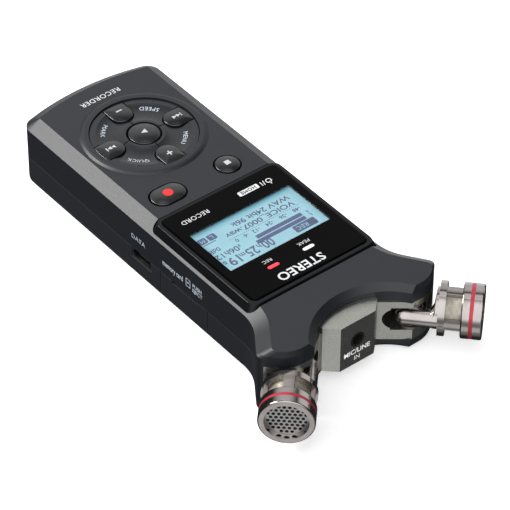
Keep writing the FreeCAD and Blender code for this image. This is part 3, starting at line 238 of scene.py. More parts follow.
def upper_edges(bm, outline, high):
    """The sharp edges at a height, in millimetres, that lie along the outline."""
    corners = {(round(x, 3), round(y, 3)) for x, y in outline}

    def along_outline(vertex):
        plan = (round(vertex.co.x / MM, 3), round(vertex.co.y / MM, 3))
        return abs(vertex.co.z / MM - high) < FLAT_WELD and plan in corners

    shared = [e for e in bm.edges if len(e.link_faces) == 2]
    sharp = [e for e in shared if abs(e.calc_face_angle(0)) > 1.0]
    return [e for e in sharp if all(along_outline(v) for v in e.verts)]


def finish_piece(piece, body, material):
    """Gives a new piece its body and its material."""
    piece.data.materials.clear()
    piece.data.materials.append(material)
    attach(piece, body)


# ---- materials


class Look:
    """A node material being built: a Principled shader, and helpers that add nodes to it."""

    def __init__(self, name, colour, roughness, metallic=0.0, specular=0.5):
        self.material = bpy.data.materials.new(name)
        self.material.use_nodes = True
        self.tree = self.material.node_tree
        self.shader = self.tree.nodes["Principled BSDF"]
        self.set("Base Color", (*colour, 1))
        self.set("Roughness", roughness)
        self.set("Metallic", metallic)
        self.set("Specular IOR Level", specular)
        self.where = self.tree.nodes.new("ShaderNodeTexCoord").outputs["Object"]

    def set(self, socket, value):
        """Sets one of the shader's inputs to a plain value."""
        self.shader.inputs[socket].default_value = value

    def node(self, kind, inputs=None, **settings):
        """A new node whose inputs are plain values or other nodes' outputs."""
        made = self.tree.nodes.new(kind)
        for key, value in settings.items():
            setattr(made, key, value)
        for key, value in (inputs or {}).items():
            if isinstance(value, bpy.types.NodeSocket):
                self.tree.links.new(value, made.inputs[key])
            else:
                made.inputs[key].default_value = value
        return made

    def link(self, output, socket):
        """Lets a node's output drive one of the shader's inputs."""
        self.tree.links.new(output, self.shader.inputs[socket])

    def noise(self, size, detail=2.0, roughness=0.5, where=None):
        """A noise value whose blobs are about size millimetres across."""
        scale = 1 / (size * MM)
        inputs = {"Vector": where or self.where, "Scale": scale, "Detail": detail, "Roughness": roughness}
        return self.node("ShaderNodeTexNoise", inputs).outputs["Fac"]

    def spread(self, value, low, high, start=0.3, end=0.7):
        """The value's range from start to end, mapped to low to high."""
        inputs = {"Value": value, "From Min": start, "From Max": end, "To Min": low, "To Max": high}
        return self.node("ShaderNodeMapRange", inputs).outputs["Result"]

    def mix(self, share, first, second):
        """A colour between two others."""
        made = self.node("ShaderNodeMix", {"Factor": share}, data_type="RGBA")
        for index, colour in ((MIX_FIRST, first), (MIX_SECOND, second)):
            if isinstance(colour, bpy.types.NodeSocket):
                self.tree.links.new(colour, made.inputs[index])
            else:
                made.inputs[index].default_value = (*colour, 1)
        return made.outputs[MIX_RESULT]

    def math(self, operation, first, second=0.0):
        return self.node("ShaderNodeMath", {0: first, 1: second}, operation=operation).outputs[0]

    def bump(self, height, distance, strength=1.0):
        """Lets a value raise the surface by up to distance millimetres."""
        inputs = {"Height": height, "Distance": distance * MM, "Strength": strength}
        self.link(self.node("ShaderNodeBump", inputs).outputs["Normal"], "Normal")

    # a mask for lightened edges: partly wear, partly a painted highlight
    def edge_wear_and_highlight(self, radius, low, high):
        """Rises from 0 to 1 near the object's outer edges."""
        soft = self.node("ShaderNodeBevel", {"Radius": radius * MM}, samples=6).outputs["Normal"]
        true = self.node("ShaderNodeNewGeometry").outputs["Normal"]
        likeness = self.node("ShaderNodeVectorMath", {0: soft, 1: true}, operation="DOT_PRODUCT")
        return self.spread(likeness.outputs["Value"], 1.0, 0.0, low, high)


def moulded_plastic(name, dark, light, roughness, grain, depth, edge=None):
    """Matte moulded plastic with a fine spark-eroded grain, slight mottling, and edges lightened a little:
    partly wear, partly a painted highlight.

    grain is the grain's size and depth its height, both in millimetres; edge is the lightened edges' colour,
    partly wear and partly a painted highlight.
    """
    look = Look(name, dark, roughness)
    mottle = look.noise(9.0, 4.0)
    speck = look.noise(grain, 2.0)
    colour = look.mix(look.spread(mottle, 0.38, 0.62), dark, light)
    fine = look.mix(look.spread(speck, 0.0, 0.5), colour, tuple(c * 1.5 for c in light))
    if edge:
        # lightens the edges: partly wear, partly a painted highlight where the edges catch light
        fine = look.mix(look.math("MULTIPLY", look.edge_wear_and_highlight(0.35, 0.75, 0.99), 0.5), fine, edge)
    look.link(fine, "Base Color")
    look.link(look.spread(look.noise(0.5, 3.0), roughness - 0.015, roughness + 0.015), "Roughness")
    look.bump(look.noise(grain, 3.0, 0.6), depth)
    return look.material


def gloss_plastic(name, colour, roughness, smudge=0.05, specular=0.5):
    """Smooth plastic with faint handling marks in its gloss."""
    look = Look(name, colour, roughness, specular=specular)
    marks = look.noise(6.0, 5.0, 0.65)
    look.link(look.spread(marks, max(roughness - smudge, 0.01), roughness + smudge), "Roughness")
    tone = look.noise(14.0, 2.0)
    look.link(look.mix(look.spread(tone, 0.0, 1.0), colour, tuple(c * 1.25 for c in colour)), "Base Color")
    look.bump(look.noise(0.12, 2.0), 0.0012)
    return look.material


def printed_ink(name, colour, glow=0.0):
    """Pad-printed ink, slightly uneven and darker at its pinholes; glow is painted light, a faint emission
    that keeps a print clear in shade.
    """
    look = Look(name, colour, 0.45)
    pinholes = look.noise(0.25, 3.0)
    thin = tuple(c * 0.78 for c in colour)
    tint = look.mix(look.spread(pinholes, 0.0, 1.0, 0.25, 0.6), thin, colour)
    look.link(tint, "Base Color")
    look.link(tint, "Emission Color")
    look.set("Emission Strength", glow)
    look.link(look.spread(look.noise(0.6, 2.0), 0.38, 0.55), "Roughness")
    return look.material


def turned_metal(name, colour, roughness, axis_frame=None):
    """Turned and plated metal, with fine rings round its axis and soft cloudy wear."""
    look = Look(name, colour, roughness, metallic=1.0)
    where = axis_frame(look) if axis_frame else look.where
    ring_width = 0.09
    squeeze = {"Vector": where, "Scale": (0.04, 0.04, 1.0)}
    rings = look.noise(ring_width, 3.0, 0.6, look.node("ShaderNodeMapping", squeeze).outputs["Vector"])
    cloud = look.noise(4.0, 4.0)
    darker = tuple(c * 0.82 for c in colour)
    look.link(look.mix(look.spread(cloud, 0.0, 1.0), darker, colour), "Base Color")
    look.link(look.spread(rings, roughness - 0.03, roughness + 0.04), "Roughness")
    look.bump(rings, 0.0015)
    return look.material


def mic_axis(side):
    """Texture coordinates whose third axis runs along a microphone."""
    centre = middle(f"{side}_mic_mesh") * MM
    front = middle(f"{side}_mic_grille") * MM
    along = (front - centre).normalized()
    turn = along.to_track_quat("Z", "Y").to_euler()

    def coordinates(look):
        inputs = {"Vector": look.where, "Location": centre, "Rotation": turn}
        return look.node("ShaderNodeMapping", inputs, vector_type="TEXTURE").outputs["Vector"]

    return coordinates


def flake_paint(name, colour, flake):
    """Fine metallic paint over moulded plastic, each flake a little brighter or darker."""
    look = Look(name, colour, 0.42, metallic=1.0)
    flake_size = 0.10 * MM
    cells = look.node("ShaderNodeTexVoronoi", {"Vector": look.where, "Scale": 1 / flake_size})
    value = look.node("ShaderNodeSeparateColor", {"Color": cells.outputs["Color"]}).outputs["Red"]
    sparkle = look.spread(value, 0.0, 1.0, 0.2, 1.0)
    base = look.mix(sparkle, tuple(c * 0.84 for c in colour), flake)
    cloud = look.spread(look.noise(5.0, 3.0), 0.0, 0.3)
    look.link(look.mix(cloud, base, tuple(c * 0.8 for c in colour)), "Base Color")
    look.link(look.spread(value, 0.27, 0.37, 0.0, 1.0), "Roughness")
    look.bump(value, 0.0012)
    return look.material


def anodised_red():
    """The red band's anodised metal, with a faint cloudiness."""
    look = Look("red_anodised_band", (0.56, 0.035, 0.06), 0.34, metallic=0.25)
    cloud = look.spread(look.noise(3.0, 4.0), 0.0, 1.0)
    look.link(look.mix(cloud, (0.43, 0.032, 0.052), (0.56, 0.048, 0.075)), "Base Color")
    look.link(look.spread(look.noise(0.3, 3.0), 0.28, 0.42), "Roughness")
    look.bump(look.noise(0.1, 2.0), 0.002)
    return look.material


def woven_mesh(name, side):
    """Fine woven brass wire: crossing wires round and along the microphone."""
    look = Look(name, (0.62, 0.56, 0.40), 0.38, metallic=0.7)
    where = mic_axis(side)(look)
    split = look.node("ShaderNodeSeparateXYZ", {"Vector": where})
    angle = look.math("ARCTAN2", split.outputs["Y"], split.outputs["X"])
    lengthwise_wires = 110.0
    hoop_pitch = 0.36 * MM
    lengthwise = look.math("SINE", look.math("MULTIPLY", angle, lengthwise_wires))
    hoops = look.math("SINE", look.math("MULTIPLY", split.outputs["Z"], 2 * math.pi / hoop_pitch))
    crossing = look.math("MAXIMUM", lengthwise, hoops)
    open_part = look.spread(crossing, 0.0, 1.0, -0.15, 0.55)
    tarnish = look.mix(look.spread(look.noise(2.0, 3.0), 0.0, 1.0), (0.50, 0.465, 0.375), (0.73, 0.69, 0.59))
    look.link(look.mix(open_part, (0.05, 0.046, 0.038), tarnish), "Base Color")
    look.link(look.spread(crossing, 0.6, 0.32, 0.0, 1.0), "Roughness")
    look.bump(crossing, 0.03, 0.8)
    return look.material


def lit_lens(name, colour, strength):
    """A small frosted lamp lens that is lit from behind, a little unevenly."""
    look = Look(name, colour, 0.35)
    glow = look.spread(look.noise(1.2, 2.0), 0.75, 1.0)
    tint = look.mix(glow, tuple(c * 0.6 for c in colour), colour)
    look.link(tint, "Base Color")
    look.link(tint, "Emission Color")
    look.set("Emission Strength", strength)
    look.link(look.spread(look.noise(0.4, 2.0), 0.3, 0.42), "Roughness")
    return look.material


def circuit_board():
    """Green solder mask with lighter tracks between darker fields."""
    look = Look("circuit_board_green", (0.02, 0.09, 0.05), 0.4)
    field_size = 6.0 * MM
    fields = {
        "Vector": look.where,
        "Scale": 1 / field_size,
        "Color1": (0.015, 0.08, 0.04, 1),
        "Color2": (0.02, 0.11, 0.055, 1),
        "Mortar": (0.03, 0.16, 0.08, 1),
    }
    look.link(look.node("ShaderNodeTexBrick", fields).outputs["Color"], "Base Color")
    look.link(look.spread(look.noise(2.0, 3.0), 0.3, 0.5), "Roughness")
    return look.material


def clear_glass():
    """The clear middle of the display window."""
    look = Look("window_clear_acrylic", (0.96, 0.985, 1.0), 0.02)
    look.set("Transmission Weight", 1.0)
    look.set("IOR", 1.49)
    look.link(look.spread(look.noise(9.0, 4.0), 0.0, 0.035), "Roughness")
    return look.material


def backlit_panel():
    """The pale cyan face of the lit display: darker and greener toward its near edge and the two sides."""
    look = Look("lcd_lit_face", (0.30, 0.60, 0.68), 0.5)
    split = look.node("ShaderNodeSeparateXYZ", {"Vector": look.where})
    near_fade = 3.2
    side_fade = 2.5
    near = look.spread(split.outputs["Y"], 1.0, 0.0, LCD_NEAR * MM, (LCD_NEAR + near_fade) * MM)
    across = look.math("ABSOLUTE", split.outputs["X"])
    side = look.spread(across, 0.0, 0.35, (LCD_HALF_WIDTH - side_fade) * MM, LCD_HALF_WIDTH * MM)
    edge = look.math("MAXIMUM", look.math("POWER", near, 1.6), side)
    pale = look.mix(look.spread(look.noise(8.0, 2.0), 0.0, 1.0), (0.27, 0.50, 0.575), (0.31, 0.54, 0.605))
    face = look.mix(edge, pale, (0.045, 0.30, 0.40))
    look.link(face, "Base Color")
    look.link(face, "Emission Color")
    look.set("Emission Strength", 0.52)
    look.link(look.spread(look.noise(1.0, 2.0), 0.45, 0.6), "Roughness")
    return look.material


def lcd_ink():
    """The display's dark blue segments, which let a little of the back light through."""
    look = Look("lcd_dark_segments", (0.03, 0.045, 0.15), 0.6)
    tone = look.mix(look.spread(look.noise(2.0, 2.0), 0.0, 1.0), (0.045, 0.062, 0.175), (0.06, 0.082, 0.21))
    look.link(tone, "Base Color")
    look.link(tone, "Emission Color")
    look.set("Emission Strength", 0.4)
    look.link(look.spread(look.noise(0.5, 2.0), 0.5, 0.7), "Roughness")
    return look.material


# base colours that are named because they are shared or long, as linear red, green and blue
CASE_DARK = (0.0100, 0.0113, 0.0138)
CASE_LIGHT = (0.0140, 0.0163, 0.0210)
# the colour the plastics' edges are lightened toward: partly wear, partly a painted highlight
CASE_EDGE_WEAR_AND_HIGHLIGHT = (0.06, 0.06, 0.062)
DOOR_DARK = (0.015, 0.017, 0.020)
SECTOR_DARK = (0.010, 0.0115, 0.014)
SECTOR_LIGHT = (0.017, 0.019, 0.023)
SLIDER_DARK = (0.03, 0.033, 0.038)
SLIDER_LIGHT = (0.045, 0.048, 0.054)
NICKEL = (0.475, 0.44, 0.425)
ALUMINIUM = (0.66, 0.655, 0.65)

case_plastic = moulded_plastic("case_matte_plastic", CASE_DARK, CASE_LIGHT, 0.42, 0.30, 0.020, CASE_EDGE_WEAR_AND_HIGHLIGHT)
rear_plastic = moulded_plastic("rear_matte_plastic", CASE_DARK, CASE_LIGHT, 0.55, 0.26, 0.013, CASE_EDGE_WEAR_AND_HIGHLIGHT)
door_plastic = moulded_plastic("door_matte_plastic", DOOR_DARK, CASE_LIGHT, 0.56, 0.26, 0.013, CASE_EDGE_WEAR_AND_HIGHLIGHT)
key_plastic = gloss_plastic("key_satin_black", (0.0065, 0.0072, 0.0085), 0.24, 0.04, 0.9)
sector_plastic = moulded_plastic("sector_satin_grey", SECTOR_DARK, SECTOR_LIGHT, 0.27, 0.18, 0.004)
frame_plastic = gloss_plastic("frame_gloss_black", (0.0055, 0.006, 0.0068), 0.22, 0.05, 0.22)
border_gloss = gloss_plastic("window_border_gloss", (0.0022, 0.0022, 0.0024), 0.07, 0.03, 0.04)
slider_plastic = moulded_plastic("slider_plastic", SLIDER_DARK, SLIDER_LIGHT, 0.45, 0.2, 0.008)
jack_plastic = gloss_plastic("jack_black_nylon", (0.012, 0.012, 0.013), 0.38, 0.08)
rubber = moulded_plastic("keypad_rubber", (0.014, 0.014, 0.015), (0.02, 0.02, 0.022), 0.75, 0.3, 0.01)
white_ink = printed_ink("white_print", (0.78, 0.80, 0.82))
blue_ink = printed_ink("pale_blue_print", (0.60, 0.68, 0.76))
# a white print that glows a little: painted light, as the print is no lamp
glowing_ink = printed_ink("glowing_white_print", (0.82, 0.84, 0.84), 0.45)
icon_ink = printed_ink("key_grey_white_print", (0.58, 0.61, 0.63))
red_ink = printed_ink("red_print", (0.80, 0.030, 0.028))
bracket_paint = flake_paint("bracket_flake_paint", (0.53, 0.535, 0.49), (0.74, 0.75, 0.70))
nickel = {side: turned_metal(f"{side}_satin_nickel", NICKEL, 0.13, mic_axis(side)) for side in SIDES}
front_ring = {
    side: turned_metal(f"{side}_grille_aluminium", ALUMINIUM, 0.42, mic_axis(side)) for side in SIDES
}
weave = {side: woven_mesh(f"{side}_woven_brass", side) for side in SIDES}
steel = turned_metal("screw_steel", (0.42, 0.42, 0.43), 0.32)
shell_metal = turned_metal("connector_shell_metal", (0.13, 0.13, 0.135), 0.32)
spring_metal = turned_metal("contact_spring_metal", (0.60, 0.59, 0.57), 0.25)
brass = turned_metal("insert_brass", (0.55, 0.42, 0.20), 0.32)
red_band = anodised_red()
capsule_metal = turned_metal("capsule_dark_metal", (0.025, 0.025, 0.025), 0.5)
battery_wrap = gloss_plastic("battery_wrap", (0.10, 0.105, 0.11), 0.32)
board_green = circuit_board()
backlight_white = gloss_plastic("backlight_diffuser", (0.72, 0.74, 0.74), 0.5)
lcd_glass = backlit_panel()
segment_ink = lcd_ink()
window_clear = clear_glass()
white_lens = lit_lens("peak_lens_white", (0.88, 0.90, 0.93), 0.35)
red_lens = lit_lens("record_lens_red", (0.90, 0.045, 0.07), 0.75)

# ---- materials on the carried-over CAD nodes

NODE_MATERIALS = {
    "front_case": case_plastic,
    "rear_case": rear_plastic,
    "battery_door": door_plastic,
    "display_frame": frame_plastic,
    "lcd_backlight": backlight_white,
    "quick_key": sector_plastic,
    "menu_key": sector_plastic,
    "playback_key": sector_plastic,
    "mark_key": sector_plastic,
    "key_board": board_green,
    "main_board": board_green,
    "keypad_membrane": rubber,
    "dome_switches": rubber,
    "data_port": shell_metal,
    "card_socket": jack_plastic,
    "phones_jack": jack_plastic,
    "mic_input_jack": jack_plastic,
    "hold_switch": jack_plastic,
    "hold_slider": slider_plastic,
    "speaker": jack_plastic,
    "tripod_insert": brass,
    "battery_cells": battery_wrap,
    "battery_contacts": spring_metal,
    "case_screws": steel,
    "bracket_screws": steel,
    "mic_bracket_upper": bracket_paint,
    "mic_bracket_lower": bracket_paint,
    "mic_pivot_pins": steel,
}
for side in SIDES:
    for part in ("arm", "cage", "cap"):
        NODE_MATERIALS[f"{side}_mic_{part}"] = nickel[side]
    NODE_MATERIALS[f"{side}_mic_cage_screw"] = steel
    NODE_MATERIALS[f"{side}_mic_red_band"] = red_band
    NODE_MATERIALS[f"{side}_mic_grille"] = front_ring[side]
    NODE_MATERIALS[f"{side}_mic_mesh"] = weave[side]
    NODE_MATERIALS[f"{side}_mic_capsule"] = capsule_metal


def dress_nodes():
    """Gives each carried-over CAD node its material."""
    for name, material in NODE_MATERIALS.items():
        slots = NODES[name].data.materials
        slots.clear()
        slots.append(material)


# ---- keys with softly domed tops


def inset(outline, amount):
    """The outline of a convex shape moved inward by amount."""
    count = len(outline)
    moved = []
    for i, (x, y) in enumerate(outline):
        before = Vector(outline[i - 1])
        after = Vector(outline[(i + 1) % count])
        along = (after - before).normalized()
        moved.append((x - along.y * amount, y + along.x * amount))
    return moved


RIM_STEPS = 5
DOME_LEVELS = 9


def domed_key(name, outline, spine, low, edge_top, crown_top, edge_round):
    """A key from its plan outline: straight sides, a rounded rim, and a shallow dome rising to crown_top.

    spine gives, for a plan point, the point of the key's middle line that the dome rises to.
    """
    rings = [(0.0, low), (0.0, edge_top - edge_round)]
    for i in range(1, RIM_STEPS + 1):
        angle = math.pi / 2 * i / RIM_STEPS
        rings.append((edge_round * (1 - math.cos(angle)), edge_top - edge_round * (1 - math.sin(angle))))
    vertices = []
    for amount, height in rings:
        vertices += [(x, y, height) for x, y in inset(outline, amount)]
    top_outline = inset(outline, edge_round)
    for i in range(1, DOME_LEVELS + 1):
        left = 1 - i / DOME_LEVELS
        height = edge_top + (crown_top - edge_top) * (1 - left * left)
        for x, y in top_outline:
            inner_x, inner_y = spine(x, y)
            vertices.append((inner_x + (x - inner_x) * left, inner_y + (y - inner_y) * left, height))
    count = len(outline)
    rows = len(rings) + DOME_LEVELS
    faces = []
    for row in range(rows - 1):
        for i in range(count):
            this = row * count + i
            following = row * count + (i + 1) % count
            faces.append((this, following, following + count, this + count))
    faces.append(tuple(range(count))[::-1])
    piece = mesh_object(name, vertices, faces)
    bm = bmesh.new()
    bm.from_mesh(piece.data)
    bmesh.ops.remove_doubles(bm, verts=bm.verts, dist=MESH_WELD)
    bmesh.ops.recalc_face_normals(bm, faces=bm.faces)
    bm.to_mesh(piece.data)
    bm.free()
    return piece


def to_point(x, y):
    """A dome that rises to one point."""
    return lambda px, py: (x, y)


def to_line(x, y, half):
    """A dome that rises to a ridge along x, reaching half to each side of the point."""
    return lambda px, py: (x + max(-half, min(half, px - x)), y)


# the four finger keys, by how far each is turned about the dial's middle
FINGER_KEYS = {"plus_key": 0, "rewind_key": 90, "minus_key": 180, "forward_key": 270}
FINGER_HALF_WIDTH = 3.8
FINGER_INNER = 8.4
FINGER_OUTER = 17.2
FINGER_CROWN = 12.9
SIDE_STEPS = 6

# the other keys' outlines, and where every domed key starts
PLAY_RADIUS = 5.1
STOP_RADIUS = 4.0
RECORD_LENGTH = 12.0
RECORD_WIDTH = 8.0
KEY_LOW = 22.35


def finger_outline(turn):
    """Round toward the dial's middle, following the dial's rim outside."""
    half = FINGER_HALF_WIDTH
    shoulder = FINGER_INNER + half
    reach = math.sqrt(FINGER_OUTER * FINGER_OUTER - half * half)
    rim_start = math.degrees(math.atan2(reach, half))
    points = arc(0, shoulder, half, 180, 360, 24)
    points += [(half, shoulder + (reach - shoulder) * i / SIDE_STEPS) for i in range(1, SIDE_STEPS)]
    points += arc(0, 0, FINGER_OUTER, rim_start, 180 - rim_start, 12)
    points += [(-half, reach + (shoulder - reach) * i / SIDE_STEPS) for i in range(1, SIDE_STEPS)]
    c = math.cos(math.radians(turn))
    s = math.sin(math.radians(turn))
    return [(DIAL.x + x * c - y * s, DIAL.y + x * s + y * c) for x, y in points]


def key_shapes():
    """Each key: node, outline, where its dome rises to, heights of its edge and crown, and rounding."""
    play_outline = circle(DIAL.x, DIAL.y, PLAY_RADIUS, 96)
    shapes = [("play_key", play_outline, to_point(DIAL.x, DIAL.y), 25.2, 25.96, 0.3)]
    for node, turn in FINGER_KEYS.items():
        angle = math.radians(turn + 90)
        crown = to_point(DIAL.x + FINGER_CROWN * math.cos(angle), DIAL.y + FINGER_CROWN * math.sin(angle))
        shapes.append((node, finger_outline(turn), crown, 25.3, 25.9, 0.25))
    stop_outline = circle(STOP.x, STOP.y, STOP_RADIUS, 80)
    shapes.append(("stop_key", stop_outline, to_point(STOP.x, STOP.y), 25.35, 25.95, 0.3))
    record_outline = pill(RECORD.x, RECORD.y, RECORD_LENGTH, RECORD_WIDTH, 36)
    ridge = to_line(RECORD.x, RECORD.y, (RECORD_LENGTH - RECORD_WIDTH) / 2)
    shapes.append(("record_key", record_outline, ridge, 25.35, 25.95, 0.3))
    return shapes


def make_keys():
    """Domed keys that stand for the plain CAD ones."""
    made = {}
    for node, outline, spine, edge, crown, rounding in key_shapes():
        made[node] = domed_key(f"{node}_domed", outline, spine, KEY_LOW, edge, crown, rounding)
        finish_piece(made[node], node, key_plastic)
        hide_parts(node)
    return made


# ---- prints that lie on a surface


SPLIT_PASSES = 6


def split_long_edges(vertices, faces, longest):
    """The triangles divided until their edges are at most that long, or the passes are used up."""
    bm = bmesh_from(vertices, faces)
    for _ in range(SPLIT_PASSES):
        long = [e for e in bm.edges if e.calc_length() > longest]
        if not long:
            break
        bmesh.ops.subdivide_edges(bm, edges=long, cuts=1)
        bmesh.ops.triangulate(bm, faces=bm.faces)
    bm.verts.index_update()
    points = [v.co.copy() for v in bm.verts]
    order = [[v.index for v in f.verts] for f in bm.faces]
    bm.free()
    return points, order


def press_on(name, parts, onto, lift=PRINT_LIFT, longest=0.7):
    """A thin print that follows the surface of another object, seen from above. Parts are in millimetres."""
    vertices, faces = split_long_edges(*parts, longest)
    tree = BVHTree.FromPolygons([v.co for v in onto.data.vertices], [p.vertices for p in onto.data.polygons])
    down = Vector((0, 0, -1))
    placed = []
    for v in vertices:
        hit = tree.ray_cast(Vector((v.x, v.y, OVERHEAD)) * MM, down)[0]
        placed.append((v.x, v.y, hit.z / MM + lift))
    return mesh_object(name, placed, faces)


def moved(parts, x, y):
    """Flat parts moved by (x, y)."""
    vertices, faces = parts
    return [Vector((x + v.x, y + v.y, 0)) for v in vertices], faces


def joined(*many):
    """Several flat parts as one."""
    vertices = []
    faces = []
    for part_vertices, part_faces in many:
        start = len(vertices)
        vertices += part_vertices
        faces += [[i + start for i in face] for face in part_faces]
    return vertices, faces


def bent(parts, x, y, radius, angle, tops_out):
    """Parts along the x axis, bent round a circle about (x, y), centred at the angle in degrees.

    Their tops point away from the circle's middle, or toward it where tops_out is false.
    """
    vertices, faces = parts
    placed = []
    for v in vertices:
        if tops_out:
            turn = math.radians(angle) - v.x / radius
            reach = radius + v.y
        else:
            turn = math.radians(angle) + v.x / radius
            reach = radius - v.y
        placed.append(Vector((x + reach * math.cos(turn), y + reach * math.sin(turn), 0)))
    return placed, faces


def triangle(x, y, size, direction=1):
    """A play-style triangle that points along +x, or -x."""
    half = size / 2
    tip = 0.5 * size * direction
    points = [(x - tip, y - half), (x + tip, y), (x - tip, y + half)]
    return points if direction > 0 else points[::-1]


def bar(x, y, width, height):
    """A box's outline about its middle."""
    left = x - width / 2
    right = x + width / 2
    near = y - height / 2
    far = y + height / 2
    return [(left, near), (right, near), (right, far), (left, far)]


def plus_sign(x, y, size, thick):
    """A bar, and half a bar on each side of it."""
    arm = (size - thick) / 2
    offset = (size + thick) / 4
    return joined(
        filled([bar(x, y, size, thick)]),
        filled([bar(x, y + offset, thick, arm)]),
        filled([bar(x, y - offset, thick, arm)]),
    )


def skip_sign(x, y, direction):
    """Two triangles and a bar, pointing along +x or -x."""
    return joined(
        filled([triangle(x - 1.15 * direction, y, 1.45, direction)]),
        filled([triangle(x + 0.30 * direction, y, 1.45, direction)]),
        filled([bar(x + 1.25 * direction, y, 0.35, 1.6)]),
    )


def key_icons(keys):
    """The signs printed on the keys; finger is how far the finger keys' signs are from the dial's middle."""
    finger = 13.2
    icons = (
        ("play", "play_key", filled([triangle(DIAL.x + 0.15, DIAL.y, 2.05)]), icon_ink),
        ("minus", "minus_key", filled([bar(DIAL.x, DIAL.y - finger, 2.2, 0.5)]), icon_ink),
        ("plus", "plus_key", plus_sign(DIAL.x, DIAL.y + finger, 2.1, 0.5), icon_ink),
        ("rewind", "rewind_key", skip_sign(DIAL.x - finger, DIAL.y, -1), icon_ink),
        ("forward", "forward_key", skip_sign(DIAL.x + finger, DIAL.y, 1), icon_ink),
        ("stop", "stop_key", filled([bar(STOP.x, STOP.y, 1.85, 1.85)]), icon_ink),
        ("record", "record_key", filled([circle(RECORD.x, RECORD.y, 1.65, 40)]), red_ink),
    )
    for name, node, parts, ink in icons:
        finish_piece(press_on(f"{name}_icon", parts, keys[node]), node, ink)


def sector_labels():
    """The words bent round the dial: piece, node, word, angle, whether its tops point out, and height."""
    labels = (
        ("speed", "playback_key", "SPEED", -134, False, 1.5),
        ("menu", "menu_key", "MENU", 135, True, 1.45),
        ("quick", "quick_key", "QUICK", 45, True, 1.45),
        ("mark", "mark_key", "MARK", -46, False, 1.45),
    )
    circle_radius = 13.0
    for name, node, text, angle, tops_out, height in labels:
        parts = bent(lettering(text, height, 1.12), DIAL.x, DIAL.y, circle_radius, angle, tops_out)
        label = press_on(f"{name}_label", parts, NODES[node], longest=0.5)
        finish_piece(label, node, blue_ink)


def sector_bumps():
    """A small moulded bump on the outer flat of each sector key."""
    reach = 16.1
    for node, angle in (("playback_key", 225), ("menu_key", 135), ("quick_key", 45), ("mark_key", 315)):
        x = DIAL.x + reach * math.cos(math.radians(angle))
        y = DIAL.y + reach * math.sin(math.radians(angle))
        top = span(node)[1].z
        outline = circle(x, y, 0.34, 20)
        bump = domed_key(f"{node}_bump", outline, to_point(x, y), top - 0.1, top + 0.1, top + 0.22, 0.08)
        finish_piece(bump, node, sector_plastic)


def case_print():
    """The generic name near the dial end, printed on the case."""
    letters = moved(lettering("RECORDER", 1.95, 1.08), 0, -68.3)
    word = press_on("case_name_print", letters, NODES["front_case"])
    finish_piece(word, ROOT_BODY, white_ink)


# ---- display


LENS_LENGTH = 4.2
LENS_WIDTH = 1.3
LENS_GAP = 0.1

# how far the clear pane reaches in under the border's edge
PANE_TUCK = 0.06


def visible_area(margin=0.0):
    """The outline of the panel's visible part, grown by a margin."""
    reach = LCD_HALF_WIDTH + margin
    return rounded_box(-reach, LCD_NEAR - margin, reach, LCD_FAR + margin, 0.25, 3)


def display_window_pieces():
    """The window: a black glossy border, printed behind, and a clear middle over the panel."""
    half = WINDOW_HIGH.x
    low = WINDOW_LOW.z
    high = WINDOW_HIGH.z - PRINT_LIFT
    outlines = [rounded_box(-half, WINDOW_LOW.y, half, WINDOW_HIGH.y, corner=2.0), visible_area()]
    for node in ("peak_light", "record_light"):
        centre = middle(node)
        outlines.append(pill(centre.x, centre.y, LENS_LENGTH + LENS_GAP, LENS_WIDTH + LENS_GAP))
    border = slab("display_window_border", outlines, low, high, bevel=0.3)
    finish_piece(border, ROOT_BODY, border_gloss)
    pane = slab("display_window_pane", [visible_area(PANE_TUCK)], low + PANE_TUCK, high - PANE_TUCK)
    finish_piece(pane, ROOT_BODY, window_clear)
    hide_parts("display_window")
    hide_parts("display_window")
    return border


def lamp_lenses():
    """The two lamps' lenses, flush with the window."""
    top = WINDOW_HIGH.z
    for node, material in (("peak_light", white_lens), ("record_light", red_lens)):
        centre = middle(node)
        outline = pill(centre.x, centre.y, LENS_LENGTH, LENS_WIDTH, 14)
        ridge = to_line(centre.x, centre.y, (LENS_LENGTH - LENS_WIDTH) / 2)
        lens = domed_key(f"{node}_lens", outline, ridge, span(node)[0].z, top - 0.06, top, 0.08)
        finish_piece(lens, ROOT_BODY, material)
        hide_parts(node)


def power_sign(x, y):
    """A ring with its stroke, a slash and an upright bar; (x, y) is the ring's middle."""
    return joined(
        filled([circle(x, y, 1.05, 40), circle(x, y, 0.72, 40)]),
        filled([bar(x, y + 1.05, 0.3, 1.3)]),
        filled([stroke([(x + 1.6, y - 1.0), (x + 2.1, y + 1.0)], 0.28)]),
        filled([bar(x + 2.8, y, 0.3, 1.9)]),
    )


def home_label(x, y):
    """A filled box about (x, y) with its word left dark in the middle, drawn with the letters cut out."""
    letters = moved(lettering("HOME", 1.4, 1.12, 0.025), x, y)
    return cut_out(rounded_box(x - 3.8, y - 1.05, x + 3.8, y + 1.05, 0.4), letters)


def window_print(border):
    """The words and signs printed on the window's border."""
    signs = (
        ("window_name_print", moved(lettering("STEREO", 3.4, 1.06, 0.018), 1.55, 34.75)),
        ("window_record_print", moved(lettering("RECORD", 1.75, 1.06), 12.65, -2.6)),
        ("window_power_print", power_sign(-15.7, -2.4)),
        ("window_home_print", home_label(-7.9, -2.6)),
        ("window_peak_print", moved(lettering("PEAK", 1.25, 1.1), -5.85, 26.6)),
        ("window_rec_print", moved(lettering("REC", 1.25, 1.1), 8.05, 26.5)),
    )
    for name, parts in signs:
        sign = press_on(name, parts, border, lift=0.012, longest=3.0)
        finish_piece(sign, ROOT_BODY, white_ink)


def cut_out(outline, letters):
    """The outline filled, apart from the letters."""
    bm = bmesh_from(*letters)
    loops = boundary_loops(bm)
    bm.free()
    return filled([outline] + [loop for loop in loops if len(loop) > 2])


